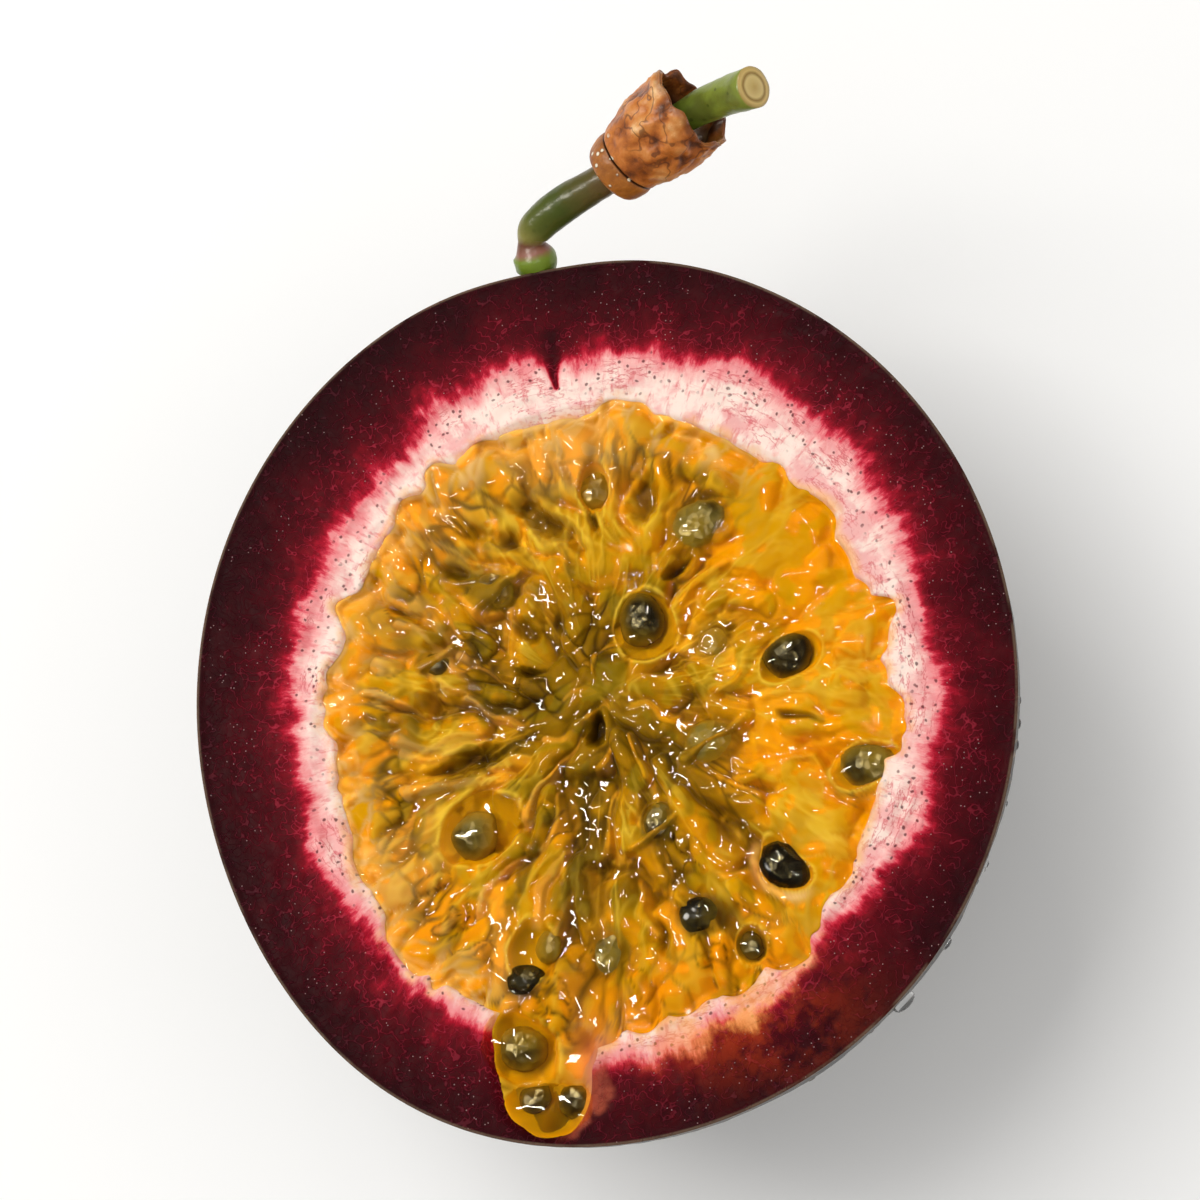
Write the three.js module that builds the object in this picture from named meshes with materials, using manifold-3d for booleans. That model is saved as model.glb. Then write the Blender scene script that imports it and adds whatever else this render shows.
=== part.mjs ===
// Half a passion fruit, cut lengthwise through its stalk end and laid on its round underside
// with the cut face up. Millimetres. +Z rises out of the cut face, +Y runs along the fruit
// towards the stalk, and the origin is the middle of the small flat spot that the half rests on.
import * as THREE from "three";
import { LoftGeometry } from "three/addons/geometries/LoftGeometry.js";
import { mergeVertices } from "three/addons/utils/BufferGeometryUtils.js";
import Module from "manifold-3d";

const wasm = await Module();
wasm.setup();

const degrees = THREE.MathUtils.degToRad;
const fullTurn = Math.PI * 2;

// The fruit
const fruitWidth = 55.5;
const fruitLength = 59;
const halfDepth = 28; // cut face to the deepest point of the full round underside
const cutHeight = 27.35; // cut face above the flat spot, which takes the last 0.65 mm
const stalkEndGrowth = 0.5; // the stalk end reaches this much further than the blossom end
const shoulder = { at: degrees(240), spread: degrees(22), rise: 1.25 };
const stalkDimple = { at: degrees(91), spread: degrees(8), rise: -0.4 };
const cutWave = { height: 0.12, crests: 2, turn: 0.6 }; // how the knife wandered up and down

// The layers: maroon flesh under the skin, then white pith, then the pulp it holds
const shellWall = { mean: 5.5, swing: 0.9, thickestAt: degrees(140) };
const pithWall = { mean: 2.35, swing: 1.1, thickestAt: degrees(68) };
const layerGap = 0.3; // air between neighbouring pieces

// The pulp: juice sacs round the edge, softer lumps in the middle
const sacCount = 24;
const sacHeight = 1.1;
const sacSway = { amount: 0.5, waves: 3 }; // how unevenly the sacs are spaced round the edge
const sacZone = { from: 0.35, to: 0.85 }; // share of the way out over which the sacs rise
const lumpHeight = 0.5;
const lumpSpacing = 6.5;
const pulpCrown = 0.5; // how far the middle of the pulp stands over the cut face
const edgeDrop = 1.2; // the outermost rim of the pulp below the cut face
const edgeRound = { from: 0.93, to: 0.98 }; // share of the way out where the edge falls, and where it ends

// The spill: pulp that has run over the rim and sits in a sagging notch
const spill = {
  at: degrees(255),
  reach: 24.6, // its middle from the origin
  heading: degrees(267), // the way its long side points
  length: 9.2,
  width: 8.2,
  taper: 0.4, // narrower by this much outwards and wider inwards
  thickness: 4,
  sink: 0.9, // its middle below the cut face
};

// The stalk: stations along its middle line (x, y, height over the cut face) with its radius
const stalkStations = [
  { x: -0.98, y: 30.45, rise: -1.5, radius: 1.25 }, // flared foot, just clear of the skin
  { x: -0.9, y: 31.0, rise: -0.9, radius: 1.3 }, // round green button
  { x: -0.9, y: 31.9, rise: -0.1, radius: 0.95 }, // pinched joint
  { x: -0.3, y: 32.6, rise: 0.5, radius: 1.2 },
  { x: 2.0, y: 33.6, rise: 1.5, radius: 1.3 }, // swollen stretch
  { x: 5.6, y: 34.4, rise: 3.0, radius: 1.1 }, // enters the dried flower cup
  { x: 8.0, y: 35.3, rise: 4.15, radius: 1.05 },
  { x: 10.2, y: 36.2, rise: 5.3, radius: 1.05 },
  { x: 13.5, y: 36.7, rise: 6.9, radius: 1.2 },
  { x: 16.7, y: 36.1, rise: 9.6, radius: 1.4 }, // cut end
];
const cupEntry = 5; // the stations between which the cup's axis runs
const cupExit = 7;

// The dried flower cup round the stalk, measured along its own axis from its lower end
const cupLength = 7.7;
const cupBore = 1.65;
const cupCollar = { length: 1.6, radius: 2.35, bevel: 0.25, swell: 0.1 };
const cupGroove = { at: 1.85, radius: 2.2, width: 0.3 };
const cupBody = { fullAt: 4.3, slack: 0.1, shoulder: 0.45 };
const cupMouth = { radius: 3.15, wall: 0.5, depth: 2.6, flare: 0.3 };
// The torn mouth: broad and fine points round it, how many of each, and the share of it lower down
const cupTear = { height: 0.7, broad: 0.6, broadPoints: 3, turn: 1, fine: 0.4, finePoints: 7, lower: 0.2 };

// How finely each piece is divided
const shellSides = 54;
const shellRings = { outside: 11, inside: 8 };
const pithSides = 48;
const pithRings = { outside: 8, inside: 7 };
const pulpSides = sacCount * 4;
const pulpRings = { underside: 7, top: 12 };
const stalkSides = 12;
const stalkRings = 28;
const cupSides = 24;
const spillSides = 18;
const spillRings = 10;
const mergeDistance = 1e-4;

const materials = {
  shell: new THREE.MeshStandardMaterial({ color: 0x3a0d16, roughness: 0.45, metalness: 0 }),
  pith: new THREE.MeshStandardMaterial({ color: 0xf0d3c4, roughness: 0.6, metalness: 0 }),
  pulp: new THREE.MeshStandardMaterial({ color: 0xc98a14, roughness: 0.2, metalness: 0 }),
  stalk: new THREE.MeshStandardMaterial({ color: 0x7f8c2e, roughness: 0.5, metalness: 0 }),
  calyx: new THREE.MeshStandardMaterial({ color: 0xa85f22, roughness: 0.75, metalness: 0 }),
};

// Every inner bowl ends in a ring this far round from the rim, closed by a shallow cone.
const innerFloorDip = degrees(82);

// A smooth local swelling round an angle.
function swelling(angle, { at, spread, rise }) {
  const turned = angle - at;
  const away = Math.atan2(Math.sin(turned), Math.cos(turned));
  return rise * Math.exp(-0.5 * (away / spread) ** 2);
}

// Outline of the skin at the cut face: an ellipse, fuller at the stalk end, with a shoulder.
function skinRadius(angle) {
  const halfWidth = fruitWidth / 2;
  const halfLength = fruitLength / 2;
  const across = halfLength * Math.cos(angle);
  const along = halfWidth * Math.sin(angle);
  const ellipse = (halfWidth * halfLength) / Math.hypot(across, along);
  const egg = stalkEndGrowth * Math.sin(angle);
  return ellipse + egg + swelling(angle, shoulder) + swelling(angle, stalkDimple);
}

function wallAt(angle, { mean, swing, thickestAt }) {
  return mean + swing * Math.cos(angle - thickestAt);
}

function shellInset(angle) {
  return wallAt(angle, shellWall);
}

function pithInset(angle) {
  return shellInset(angle) + layerGap + wallAt(angle, pithWall);
}

// Height of the cut face, which the knife left slightly wavy.
function cutFace(angle, radius) {
  const share = radius / skinRadius(angle);
  return cutHeight + cutWave.height * share * Math.sin(cutWave.crests * angle + cutWave.turn);
}

// A closed ring of points; pointAt gives the radius and height at an angle.
function ring(sides, pointAt) {
  return Array.from({ length: sides }, (_, side) => {
    const angle = (side / sides) * fullTurn;
    const { radius, height } = pointAt(angle);
    return new THREE.Vector3(radius * Math.cos(angle), radius * Math.sin(angle), height);
  });
}

// A ring shrunk to one point, which closes a loft.
function pole(section) {
  const middle = new THREE.Vector3();
  for (const point of section) middle.addScaledVector(point, 1 / section.length);
  return section.map(() => middle);
}

// Rings of an egg-shaped bowl that lies inset from the skin, from the cut face downwards.
function bowlRings(sides, count, inset, deepest) {
  return Array.from({ length: count }, (_, step) => {
    const dip = (step / (count - 1)) * deepest;
    return ring(sides, (angle) => {
      const radius = skinRadius(angle) - inset(angle);
      const top = cutFace(angle, radius);
      const drop = (halfDepth - inset(angle)) * Math.sin(dip);
      return { radius: radius * Math.cos(dip), height: top - drop };
    });
  });
}

// Turns a geometry into a solid that can be joined and cut.
function solidFrom(geometry) {
  const bare = new THREE.BufferGeometry();
  bare.setAttribute("position", geometry.attributes.position);
  bare.setIndex(geometry.index);
  const merged = mergeVertices(bare, mergeDistance);
  const corners = merged.index.array;
  const triVerts = [];
  for (let i = 0; i < corners.length; i += 3) {
    const [a, b, c] = corners.slice(i, i + 3);
    if (a !== b && b !== c && c !== a) triVerts.push(a, b, c);
  }
  const mesh = new wasm.Mesh({
    numProp: 3,
    vertProperties: new Float32Array(merged.attributes.position.array),
    triVerts: new Uint32Array(triVerts),
  });
  return new wasm.Manifold(mesh);
}

// Turns a solid back into a geometry with smooth normals.
function geometryFrom(solid) {
  const { vertProperties, triVerts } = solid.getMesh();
  const geometry = new THREE.BufferGeometry();
  geometry.setAttribute("position", new THREE.BufferAttribute(vertProperties, 3));
  geometry.setIndex(new THREE.BufferAttribute(triVerts, 1));
  geometry.computeVertexNormals();
  return geometry;
}

function namedMesh(name, solid) {
  const mesh = new THREE.Mesh(geometryFrom(solid), materials[name]);
  mesh.name = name;
  return mesh;
}

// A solid lofted through its rings and closed at both ends.
function loftedSolid(sections) {
  return solidFrom(new LoftGeometry([pole(sections[0]), ...sections, pole(sections.at(-1))]));
}

// The outside and inside of a bowl, joined over the rim.
function bowlSolid(outerRings, innerRings) {
  return loftedSolid([...outerRings.reverse(), ...innerRings]);
}

// The lens of pulp that lies in the notch, narrower outwards; grown makes the notch itself.
function spillSolid(grown) {
  const lens = new THREE.SphereGeometry(1, spillSides, spillRings);
  const points = lens.attributes.position;
  for (let i = 0; i < points.count; i += 1) {
    const outward = points.getX(i);
    const width = spill.width / 2 - outward * spill.taper + grown;
    points.setX(i, outward * (spill.length / 2 + grown));
    points.setY(i, points.getY(i) * width);
    points.setZ(i, points.getZ(i) * (spill.thickness / 2 + grown));
  }
  lens.rotateZ(spill.heading);
  const across = spill.reach * Math.cos(spill.at);
  const along = spill.reach * Math.sin(spill.at);
  lens.translate(across, along, cutHeight - spill.sink);
  return solidFrom(lens);
}

// The skin and the maroon flesh, open at the top, with a flat spot underneath.
function makeShell() {
  const flatSpotDip = Math.asin(cutHeight / halfDepth);
  const outside = bowlRings(shellSides, shellRings.outside, () => 0, flatSpotDip);
  const flatSpot = outside.at(-1);
  for (const point of flatSpot) point.z = 0;
  const inside = bowlRings(shellSides, shellRings.inside, shellInset, innerFloorDip);
  return namedMesh("shell", bowlSolid(outside, inside).subtract(spillSolid(layerGap)));
}

// The white lining between the flesh and the pulp.
function makePith() {
  const seat = (angle) => shellInset(angle) + layerGap;
  const outside = bowlRings(pithSides, pithRings.outside, seat, innerFloorDip);
  const inside = bowlRings(pithSides, pithRings.inside, pithInset, innerFloorDip);
  return namedMesh("pith", bowlSolid(outside, inside).subtract(spillSolid(layerGap)));
}

// Height of the pulp: long sacs round the edge that fade into soft lumps in the middle.
function pulpHeight(angle, share, radius) {
  const x = radius * Math.cos(angle);
  const y = radius * Math.sin(angle);
  const sway = sacSway.amount * Math.sin(sacSway.waves * angle);
  const sacs = Math.abs(Math.cos((sacCount * angle) / 2 + sway));
  const sacShare = THREE.MathUtils.smoothstep(share, sacZone.from, sacZone.to);
  const edge = sacHeight * (sacs - 0.5) * sacShare;
  const waves = Math.sin((x * fullTurn) / lumpSpacing) * Math.cos((y * fullTurn) / lumpSpacing);
  const lumps = lumpHeight * waves * (1 - share);
  const crown = pulpCrown * (1 - share ** 2);
  const fall = sacHeight * THREE.MathUtils.smoothstep(share, edgeRound.from, 1);
  return cutFace(angle, radius) + crown + edge + lumps - fall;
}

// The pulp with its juice sacs, one body with the spill that has run over the rim.
function makePulp() {
  const inset = (angle) => pithInset(angle) + layerGap;
  const underside = bowlRings(pulpSides, pulpRings.underside, inset, innerFloorDip).reverse();
  for (const point of underside.at(-1)) point.z -= edgeDrop;
  const top = Array.from({ length: pulpRings.top }, (_, step) => {
    const share = edgeRound.to * (1 - step / pulpRings.top);
    return ring(pulpSides, (angle) => {
      const radius = share * (skinRadius(angle) - inset(angle));
      return { radius, height: pulpHeight(angle, share, radius) };
    });
  });
  return namedMesh("pulp", loftedSolid([...underside, ...top]).add(spillSolid(0)));
}

// The green stalk: foot, button, pinched joint, swollen stretch and cut end in one piece.
function makeStalk() {
  const middle = stalkStations.map(({ x, y, rise }) => new THREE.Vector3(x, y, cutHeight + rise));
  const path = new THREE.CatmullRomCurve3(middle, false, "centripetal");
  const frames = path.computeFrenetFrames(stalkRings, false);
  const sections = Array.from({ length: stalkRings + 1 }, (_, step) => {
    const along = step / stalkRings;
    const centre = path.getPointAt(along);
    const radius = stalkRadius(path.getUtoTmapping(along));
    return Array.from({ length: stalkSides }, (_, side) => {
      const angle = (side / stalkSides) * fullTurn;
      const outward = frames.normals[step].clone().multiplyScalar(Math.cos(angle));
      outward.addScaledVector(frames.binormals[step], Math.sin(angle));
      return centre.clone().addScaledVector(outward, radius);
    });
  });
  return namedMesh("stalk", loftedSolid(sections));
}

// Radius of the stalk between its stations, t running from 0 to 1 over them.
function stalkRadius(t) {
  const place = t * (stalkStations.length - 1);
  const before = Math.min(Math.floor(place), stalkStations.length - 2);
  const share = THREE.MathUtils.smoothstep(place - before, 0, 1);
  return THREE.MathUtils.lerp(stalkStations[before].radius, stalkStations[before + 1].radius, share);
}

// How far the torn mouth stands over or under its mean height.
function tearAt(angle) {
  const broad = cupTear.broad * Math.sin(cupTear.broadPoints * angle + cupTear.turn);
  const fine = cupTear.fine * Math.sin(cupTear.finePoints * angle);
  return cupTear.height * (broad + fine);
}

// The brown papery cup: a collar, a groove, a widening body and a torn mouth round a bore.
function makeCalyx() {
  const station = (height, radius, torn = 0) =>
    ring(cupSides, (angle) => ({ radius, height: height + torn * tearAt(angle) }));
  const lowerEnd = station(0, cupBore);
  const floorAt = cupLength - cupMouth.depth;
  const sections = [
    lowerEnd,
    station(0, cupCollar.radius - cupCollar.bevel),
    station(cupCollar.bevel, cupCollar.radius),
    station(cupCollar.length, cupCollar.radius + cupCollar.swell),
    station(cupGroove.at, cupGroove.radius),
    station(cupGroove.at + cupGroove.width, cupMouth.radius - cupBody.shoulder),
    station(cupBody.fullAt, cupMouth.radius - cupBody.slack, cupTear.lower),
    station(cupLength, cupMouth.radius, 1),
    station(cupLength, cupMouth.radius - cupMouth.wall, 1),
    station(floorAt, cupBore + cupMouth.flare),
    station(floorAt - cupMouth.wall, cupBore),
    lowerEnd,
  ];
  const mesh = namedMesh("calyx", solidFrom(new LoftGeometry(sections)));
  const entry = stalkStations[cupEntry];
  const exit = stalkStations[cupExit];
  const axis = new THREE.Vector3(exit.x - entry.x, exit.y - entry.y, exit.rise - entry.rise);
  mesh.position.set(entry.x, entry.y, cutHeight + entry.rise);
  mesh.quaternion.setFromUnitVectors(new THREE.Vector3(0, 0, 1), axis.normalize());
  return mesh;
}

const passionFruitHalf = new THREE.Group();
passionFruitHalf.add(makeShell(), makePith(), makePulp(), makeStalk(), makeCalyx());

export default passionFruitHalf;
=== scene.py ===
import math

import bpy
import numpy as np
from mathutils import Matrix, Vector


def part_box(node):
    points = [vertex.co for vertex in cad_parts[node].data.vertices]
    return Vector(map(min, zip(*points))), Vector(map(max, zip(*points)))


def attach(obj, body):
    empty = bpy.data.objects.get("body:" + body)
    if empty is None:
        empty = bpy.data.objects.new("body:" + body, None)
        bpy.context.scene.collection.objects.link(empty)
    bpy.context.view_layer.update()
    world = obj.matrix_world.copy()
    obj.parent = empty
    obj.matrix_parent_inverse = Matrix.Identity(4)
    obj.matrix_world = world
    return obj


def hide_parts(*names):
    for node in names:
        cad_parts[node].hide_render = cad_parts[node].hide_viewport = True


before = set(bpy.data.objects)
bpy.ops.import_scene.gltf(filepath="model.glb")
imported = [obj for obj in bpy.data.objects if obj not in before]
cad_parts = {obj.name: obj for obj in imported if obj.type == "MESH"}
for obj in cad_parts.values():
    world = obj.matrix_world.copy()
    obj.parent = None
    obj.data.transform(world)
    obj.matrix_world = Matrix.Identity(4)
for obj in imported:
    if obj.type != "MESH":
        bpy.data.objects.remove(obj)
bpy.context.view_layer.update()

mm = 0.001
fullTurn = 2 * math.pi

# The fruit's own shape, in mm. +Y runs to the stalk end, the cut face looks up.
shellLow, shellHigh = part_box("shell")
fruit = {
    "halfWidth": (shellHigh.x - shellLow.x) / mm / 2,
    "halfLength": (shellHigh.y - shellLow.y) / mm / 2,
    "cutHeight": 27.35,        # cut face over the flat spot it rests on
    "halfDepth": 28.0,         # cut face to the lowest point of the full round underside
    "stalkEndGrowth": 0.5,
}
cutWave = {"height": 0.12, "crests": 2, "turn": 0.6}    # how the cut face warps
shoulder = {"at": math.radians(240), "spread": math.radians(22), "rise": 1.25}
stalkDimple = {"at": math.radians(91), "spread": math.radians(8), "rise": -0.4}
shellWall = {"mean": 5.5, "swing": 0.9, "thickestAt": math.radians(140)}
pithWall = {"mean": 2.65, "swing": 1.1, "thickestAt": math.radians(68)}
spill = {"at": math.radians(255), "reach": 24.8, "heading": math.radians(266), "length": 9.9, "width": 8.0,
         "taper": 0.1, "thickness": 4.0, "sink": 0.9, "bluntness": 2.4,
         "waver": (0.7, 0.4), "waverGrain": 1.9,    # how far its outline wavers, in x and in y
         "room": 0.6, "tuck": 0.9, "lip": 0.4}      # the notch is roomier, and the pulp runs on under it
stainSwellings = [{"at": math.radians(at), "spread": math.radians(spread), "rise": rise}
                  for at, spread, rise in ((188, 32, 0.35), (312, 26, 1.2), (232, 18, 0.5), (55, 30, 0.35),
                                           (128, 14, 0.9))]
stainWaves = [(0.22, 5, 1), (0.2, 9, 2), (0.15, 17, 0)]    # reach, waves round the fruit, turn
rng = np.random.default_rng(14)


def softNoise(points, grain, seed):
    # smooth random field between -1 and 1 over points in mm, grain is the size of its lumps
    table = np.random.default_rng(seed).uniform(-1, 1, 4096)
    place = points / grain + 100.0
    cell = np.floor(place).astype(np.int64)
    part = place - cell
    part = part * part * (3 - 2 * part)
    total = np.zeros(len(points))
    for corner in np.ndindex(2, 2, 2):
        at = cell + np.array(corner)
        key = (at[:, 0] * 73856093) ^ (at[:, 1] * 19349663) ^ (at[:, 2] * 83492791)
        share = np.where(np.array(corner) == 1, part, 1 - part).prod(axis=1)
        total += share * table[key & 4095]
    return total


def layeredNoise(points, grain, seed, layers=3):
    return sum(softNoise(points, grain / 2 ** layer, seed + layer) / 2 ** layer for layer in range(layers))


def cells(across, along, count, seed):
    # scattered points, one in each unit cell, count of them round the fruit: how near the two nearest
    # lie, and a number of the nearest one's own
    table = np.random.default_rng(seed).uniform(0, 1, (3, 4096))
    column, row = np.floor(across).astype(np.int64), np.floor(along).astype(np.int64)
    near, second, own = np.full(len(across), 9.0), np.full(len(across), 9.0), np.zeros(len(across))
    for stepX, stepY in np.ndindex(3, 3):
        atX, atY = column + stepX - 1, row + stepY - 1
        key = (((atX % count) * 73856093) ^ (atY * 19349663)) & 4095
        away = np.hypot(across - atX - table[0, key], along - atY - table[1, key])
        second = np.minimum(second, np.maximum(near, away))
        own = np.where(away < near, table[2, key], own)
        near = np.minimum(near, away)
    return near, second, own


def smoothStep(value, low, high):
    share = np.clip((value - low) / (high - low), 0, 1)
    return share * share * (3 - 2 * share)


def swelling(angle, bump):
    away = np.arctan2(np.sin(angle - bump["at"]), np.cos(angle - bump["at"]))
    return bump["rise"] * np.exp(-0.5 * (away / bump["spread"]) ** 2)


def skinRadius(angle):
    across, along = fruit["halfWidth"], fruit["halfLength"]
    ellipse = across * along / np.hypot(along * np.cos(angle), across * np.sin(angle))
    egg = fruit["stalkEndGrowth"] * np.sin(angle)
    return ellipse + egg + swelling(angle, shoulder) + swelling(angle, stalkDimple)


def wallAt(angle, wall):
    return wall["mean"] + wall["swing"] * np.cos(angle - wall["thickestAt"])


def fleshInnerRadius(angle):
    return skinRadius(angle) - wallAt(angle, shellWall)


def pulpRadius(angle):
    return fleshInnerRadius(angle) - wallAt(angle, pithWall)


def stainEdge(angle):
    # how far inside the wall's own border the red of the flesh reaches, in mm
    swellings = sum(swelling(angle, bump) for bump in stainSwellings)
    return swellings + sum(reach * np.sin(waves * angle + turn) for reach, waves, turn in stainWaves)


def cutFace(angle, radius):
    share = radius / skinRadius(angle)
    wave = np.sin(cutWave["crests"] * angle + cutWave["turn"])
    return fruit["cutHeight"] + cutWave["height"] * share * wave


def notchShare(x, y, grown):
    # 0 in the middle of the notch that the spill lies in, 1 on its outline
    alongX, alongY = math.cos(spill["heading"]), math.sin(spill["heading"])
    place = np.stack([x, y, 0 * x], axis=-1).reshape(-1, 3)
    waverX, waverY = (height * softNoise(place, spill["waverGrain"], seed).reshape(np.shape(x))
                      for height, seed in zip(spill["waver"], (5, 6)))
    offX = x - spill["reach"] * math.cos(spill["at"]) + waverX
    offY = y - spill["reach"] * math.sin(spill["at"]) + waverY
    outward = (offX * alongX + offY * alongY) / (spill["length"] / 2 + grown)
    halfWidth = spill["width"] / 2 + grown - np.clip(outward, -1, 1) * spill["taper"]
    across = (offY * alongX - offX * alongY) / halfWidth
    power = spill["bluntness"]
    return (np.abs(outward) ** power + np.abs(across) ** power) ** (1 / power)


def notchFloor(x, y):
    # how low the rim is pressed under the spill, with a rounded lip, and far above the cut elsewhere
    press = spill["sink"] + spill["thickness"] / 2 + spill["lip"]
    return fruit["cutHeight"] + spill["lip"] - press * smoothStep(notchShare(x, y, spill["room"]), 1.0, 0.35)


def around(sides):
    return np.arange(sides) / sides * fullTurn


def ringPoints(angle, radius, height):
    return np.stack([radius * np.cos(angle), radius * np.sin(angle), height + 0 * angle], axis=-1)


def linkObject(name, mesh):
    piece = bpy.data.objects.new(name, mesh)
    bpy.context.scene.collection.objects.link(piece)
    return piece


def addAttribute(mesh, name, values):
    values = np.asarray(values, dtype=np.float32)
    if values.ndim == 1:
        mesh.attributes.new(name, "FLOAT", "POINT").data.foreach_set("value", values)
    else:
        mesh.attributes.new(name, "FLOAT_VECTOR", "POINT").data.foreach_set("vector", values.ravel())


def ringMesh(name, rings, sharpRows=()):
    # rings is rows x sides x 3 in mm; every row runs round, and a pole closes each end
    rowCount, sides = rings.shape[:2]
    row = np.arange(rowCount - 1)[:, None] * sides
    side = np.arange(sides)[None, :]
    beside = (side + 1) % sides
    quads = np.stack([row + side, row + beside, row + sides + beside, row + sides + side], axis=-1)
    poles = rowCount * sides
    last = (rowCount - 1) * sides
    faces = quads.reshape(-1, 4).tolist()
    faces += [(poles, (i + 1) % sides, i) for i in range(sides)]
    faces += [(poles + 1, last + i, last + (i + 1) % sides) for i in range(sides)]
    points = np.vstack([rings.reshape(-1, 3), rings[0].mean(axis=0), rings[-1].mean(axis=0)])
    mesh = bpy.data.meshes.new(name)
    mesh.from_pydata((points * mm).tolist(), [], faces)
    mesh.polygons.foreach_set("use_smooth", np.ones(len(mesh.polygons), dtype=bool))
    if sharpRows:
        ends = np.zeros(len(mesh.edges) * 2, dtype=np.int32)
        mesh.edges.foreach_get("vertices", ends)
        rowOf = ends.reshape(-1, 2) // sides
        sharp = (rowOf[:, 0] == rowOf[:, 1]) & np.isin(rowOf[:, 0], sharpRows)
        mesh.attributes.new("sharp_edge", "BOOLEAN", "EDGE").data.foreach_set("value", sharp)
    return mesh, points


def withPoles(rows):
    return np.concatenate([np.array(rows).ravel(), [rows[0].mean(), rows[-1].mean()]])


def linear(hexColour):
    parts = [int(hexColour[i:i + 2], 16) / 255 for i in (1, 3, 5)]
    return [c / 12.92 if c <= 0.04045 else ((c + 0.055) / 1.055) ** 2.4 for c in parts] + [1.0]


def addNode(tree, kind, inputs=(), out=0, stops=(), **settings):
    # one node with its settings, its values or links and the stops of a ramp; hands back one output
    node = tree.nodes.new(kind)
    for key, value in settings.items():
        setattr(node, key, value)
    for key, value in (inputs.items() if isinstance(inputs, dict) else enumerate(inputs)):
        if isinstance(value, bpy.types.NodeSocket):
            tree.links.new(value, node.inputs[key])
        elif isinstance(value, str) and value.startswith("#"):
            node.inputs[key].default_value = linear(value)
        else:
            node.inputs[key].default_value = value
    if stops:
        elements = node.color_ramp.elements
        while len(elements) < len(stops):
            elements.new(1.0)
        for element, (place, colour) in zip(elements, stops):
            element.position = place
            element.color = linear(colour)
    return node.outputs[out] if node.outputs else node


def newMaterial(name):
    material = bpy.data.materials.new(name)
    material.use_nodes = True
    material.node_tree.nodes.clear()
    return material, material.node_tree


def mask(tree, *parts):
    # all parts multiplied: a number, an output, or a value and the limits it rises or falls between
    product = None
    for part in parts:
        if isinstance(part, tuple):
            part = addNode(tree, "ShaderNodeMapRange", part, interpolation_type="SMOOTHSTEP")
        if product is not None:
            part = addNode(tree, "ShaderNodeMath", (product, part), operation="MULTIPLY")
        product = part
    return product


def pattern(tree, kind, place, size, **inputs):
    # a texture whose lumps or dots lie about size mm apart
    texture = {"Vector": place, "Scale": 1 / (size * mm), **inputs}
    return addNode(tree, "ShaderNodeTex" + kind, texture)


def centred(tree, value, reach):
    # a pattern moved to lie around 0
    off = addNode(tree, "ShaderNodeMath", (value, 0.5), operation="SUBTRACT")
    return addNode(tree, "ShaderNodeMath", (off, reach), operation="MULTIPLY")


def threads(tree, value, edge, core):
    # thin winding lines, where a pattern passes through its middle
    off = addNode(tree, "ShaderNodeMath", (centred(tree, value, 1.0),), operation="ABSOLUTE")
    return mask(tree, (off, edge, core))


def paintOver(tree, colour, *coats):
    # each coat is its mask, its strength and its colour
    for share, strength, paint in coats:
        colour = addNode(tree, "ShaderNodeMix", {0: mask(tree, share, strength), 6: colour, 7: paint}, 2,
                         data_type="RGBA")
    return colour


def finishMaterial(tree, values, height=None, strength=0.0):
    # the surface itself, with fine relief 0.2 mm deep where a height is given
    if height is not None:
        relief = {"Strength": strength, "Distance": 0.2 * mm, "Height": height}
        values = {**values, "Normal": addNode(tree, "ShaderNodeBump", relief)}
    addNode(tree, "ShaderNodeOutputMaterial", {"Surface": addNode(tree, "ShaderNodeBsdfPrincipled", values)})


def makeSkinMaterial():
    # leathery peel of a ripe fruit: near black brown, crowded with corky dots, and short pale curls painted
    # as the glints of fine drops
    material, tree = newMaterial("leatheryPeel")
    place = addNode(tree, "ShaderNodeTexCoord", out="Object")
    cloud = pattern(tree, "Noise", place, 5.56, Detail=4)
    base = addNode(tree, "ShaderNodeValToRGB", (cloud,), stops=((0.3, "#080403"), (0.55, "#120b07"),
                                                                (0.8, "#241810")))
    patch = pattern(tree, "Noise", place, 7.69, Detail=3)
    dots = pattern(tree, "Voronoi", place, 0.588)     # 0.1 to 0.2 mm wide
    pores = mask(tree, (dots, 0.3, 0.18), (pattern(tree, "Noise", place, 2.38), 0.3, 0.5))
    # pale curls painted as the glints of fine drops on the peel, with a little bump
    glintCurls = mask(tree, threads(tree, pattern(tree, "Noise", place, 0.87, Detail=1), 0.035, 0.012),
                 (pattern(tree, "Noise", place, 1.25), 0.46, 0.54), (patch, 0.36, 0.56, 0.25, 1.0))
    underRim = addNode(tree, "ShaderNodeAttribute", out="Fac", attribute_name="underRim")
    rim = mask(tree, (underRim, 0.5, 0.15), (pattern(tree, "Noise", place, 2.0, Detail=3), 0.35, 0.6))
    colour = paintOver(tree, base, (glintCurls, 0.75, "#6d5434"), (pores, 0.9, "#a0875e"), (rim, 1.0, "#6a5645"))
    raised = addNode(tree, "ShaderNodeMath", (pores, glintCurls), operation="MAXIMUM")
    height = addNode(tree, "ShaderNodeMath", (cloud, mask(tree, raised, 0.5)), operation="ADD")
    finishMaterial(tree, {"Base Color": colour, "Roughness": 0.36, "IOR": 1.45, "Specular IOR Level": 0.22,
                          "Coat Weight": 0.15, "Coat Roughness": 0.12}, height, 0.4)
    return material


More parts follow.
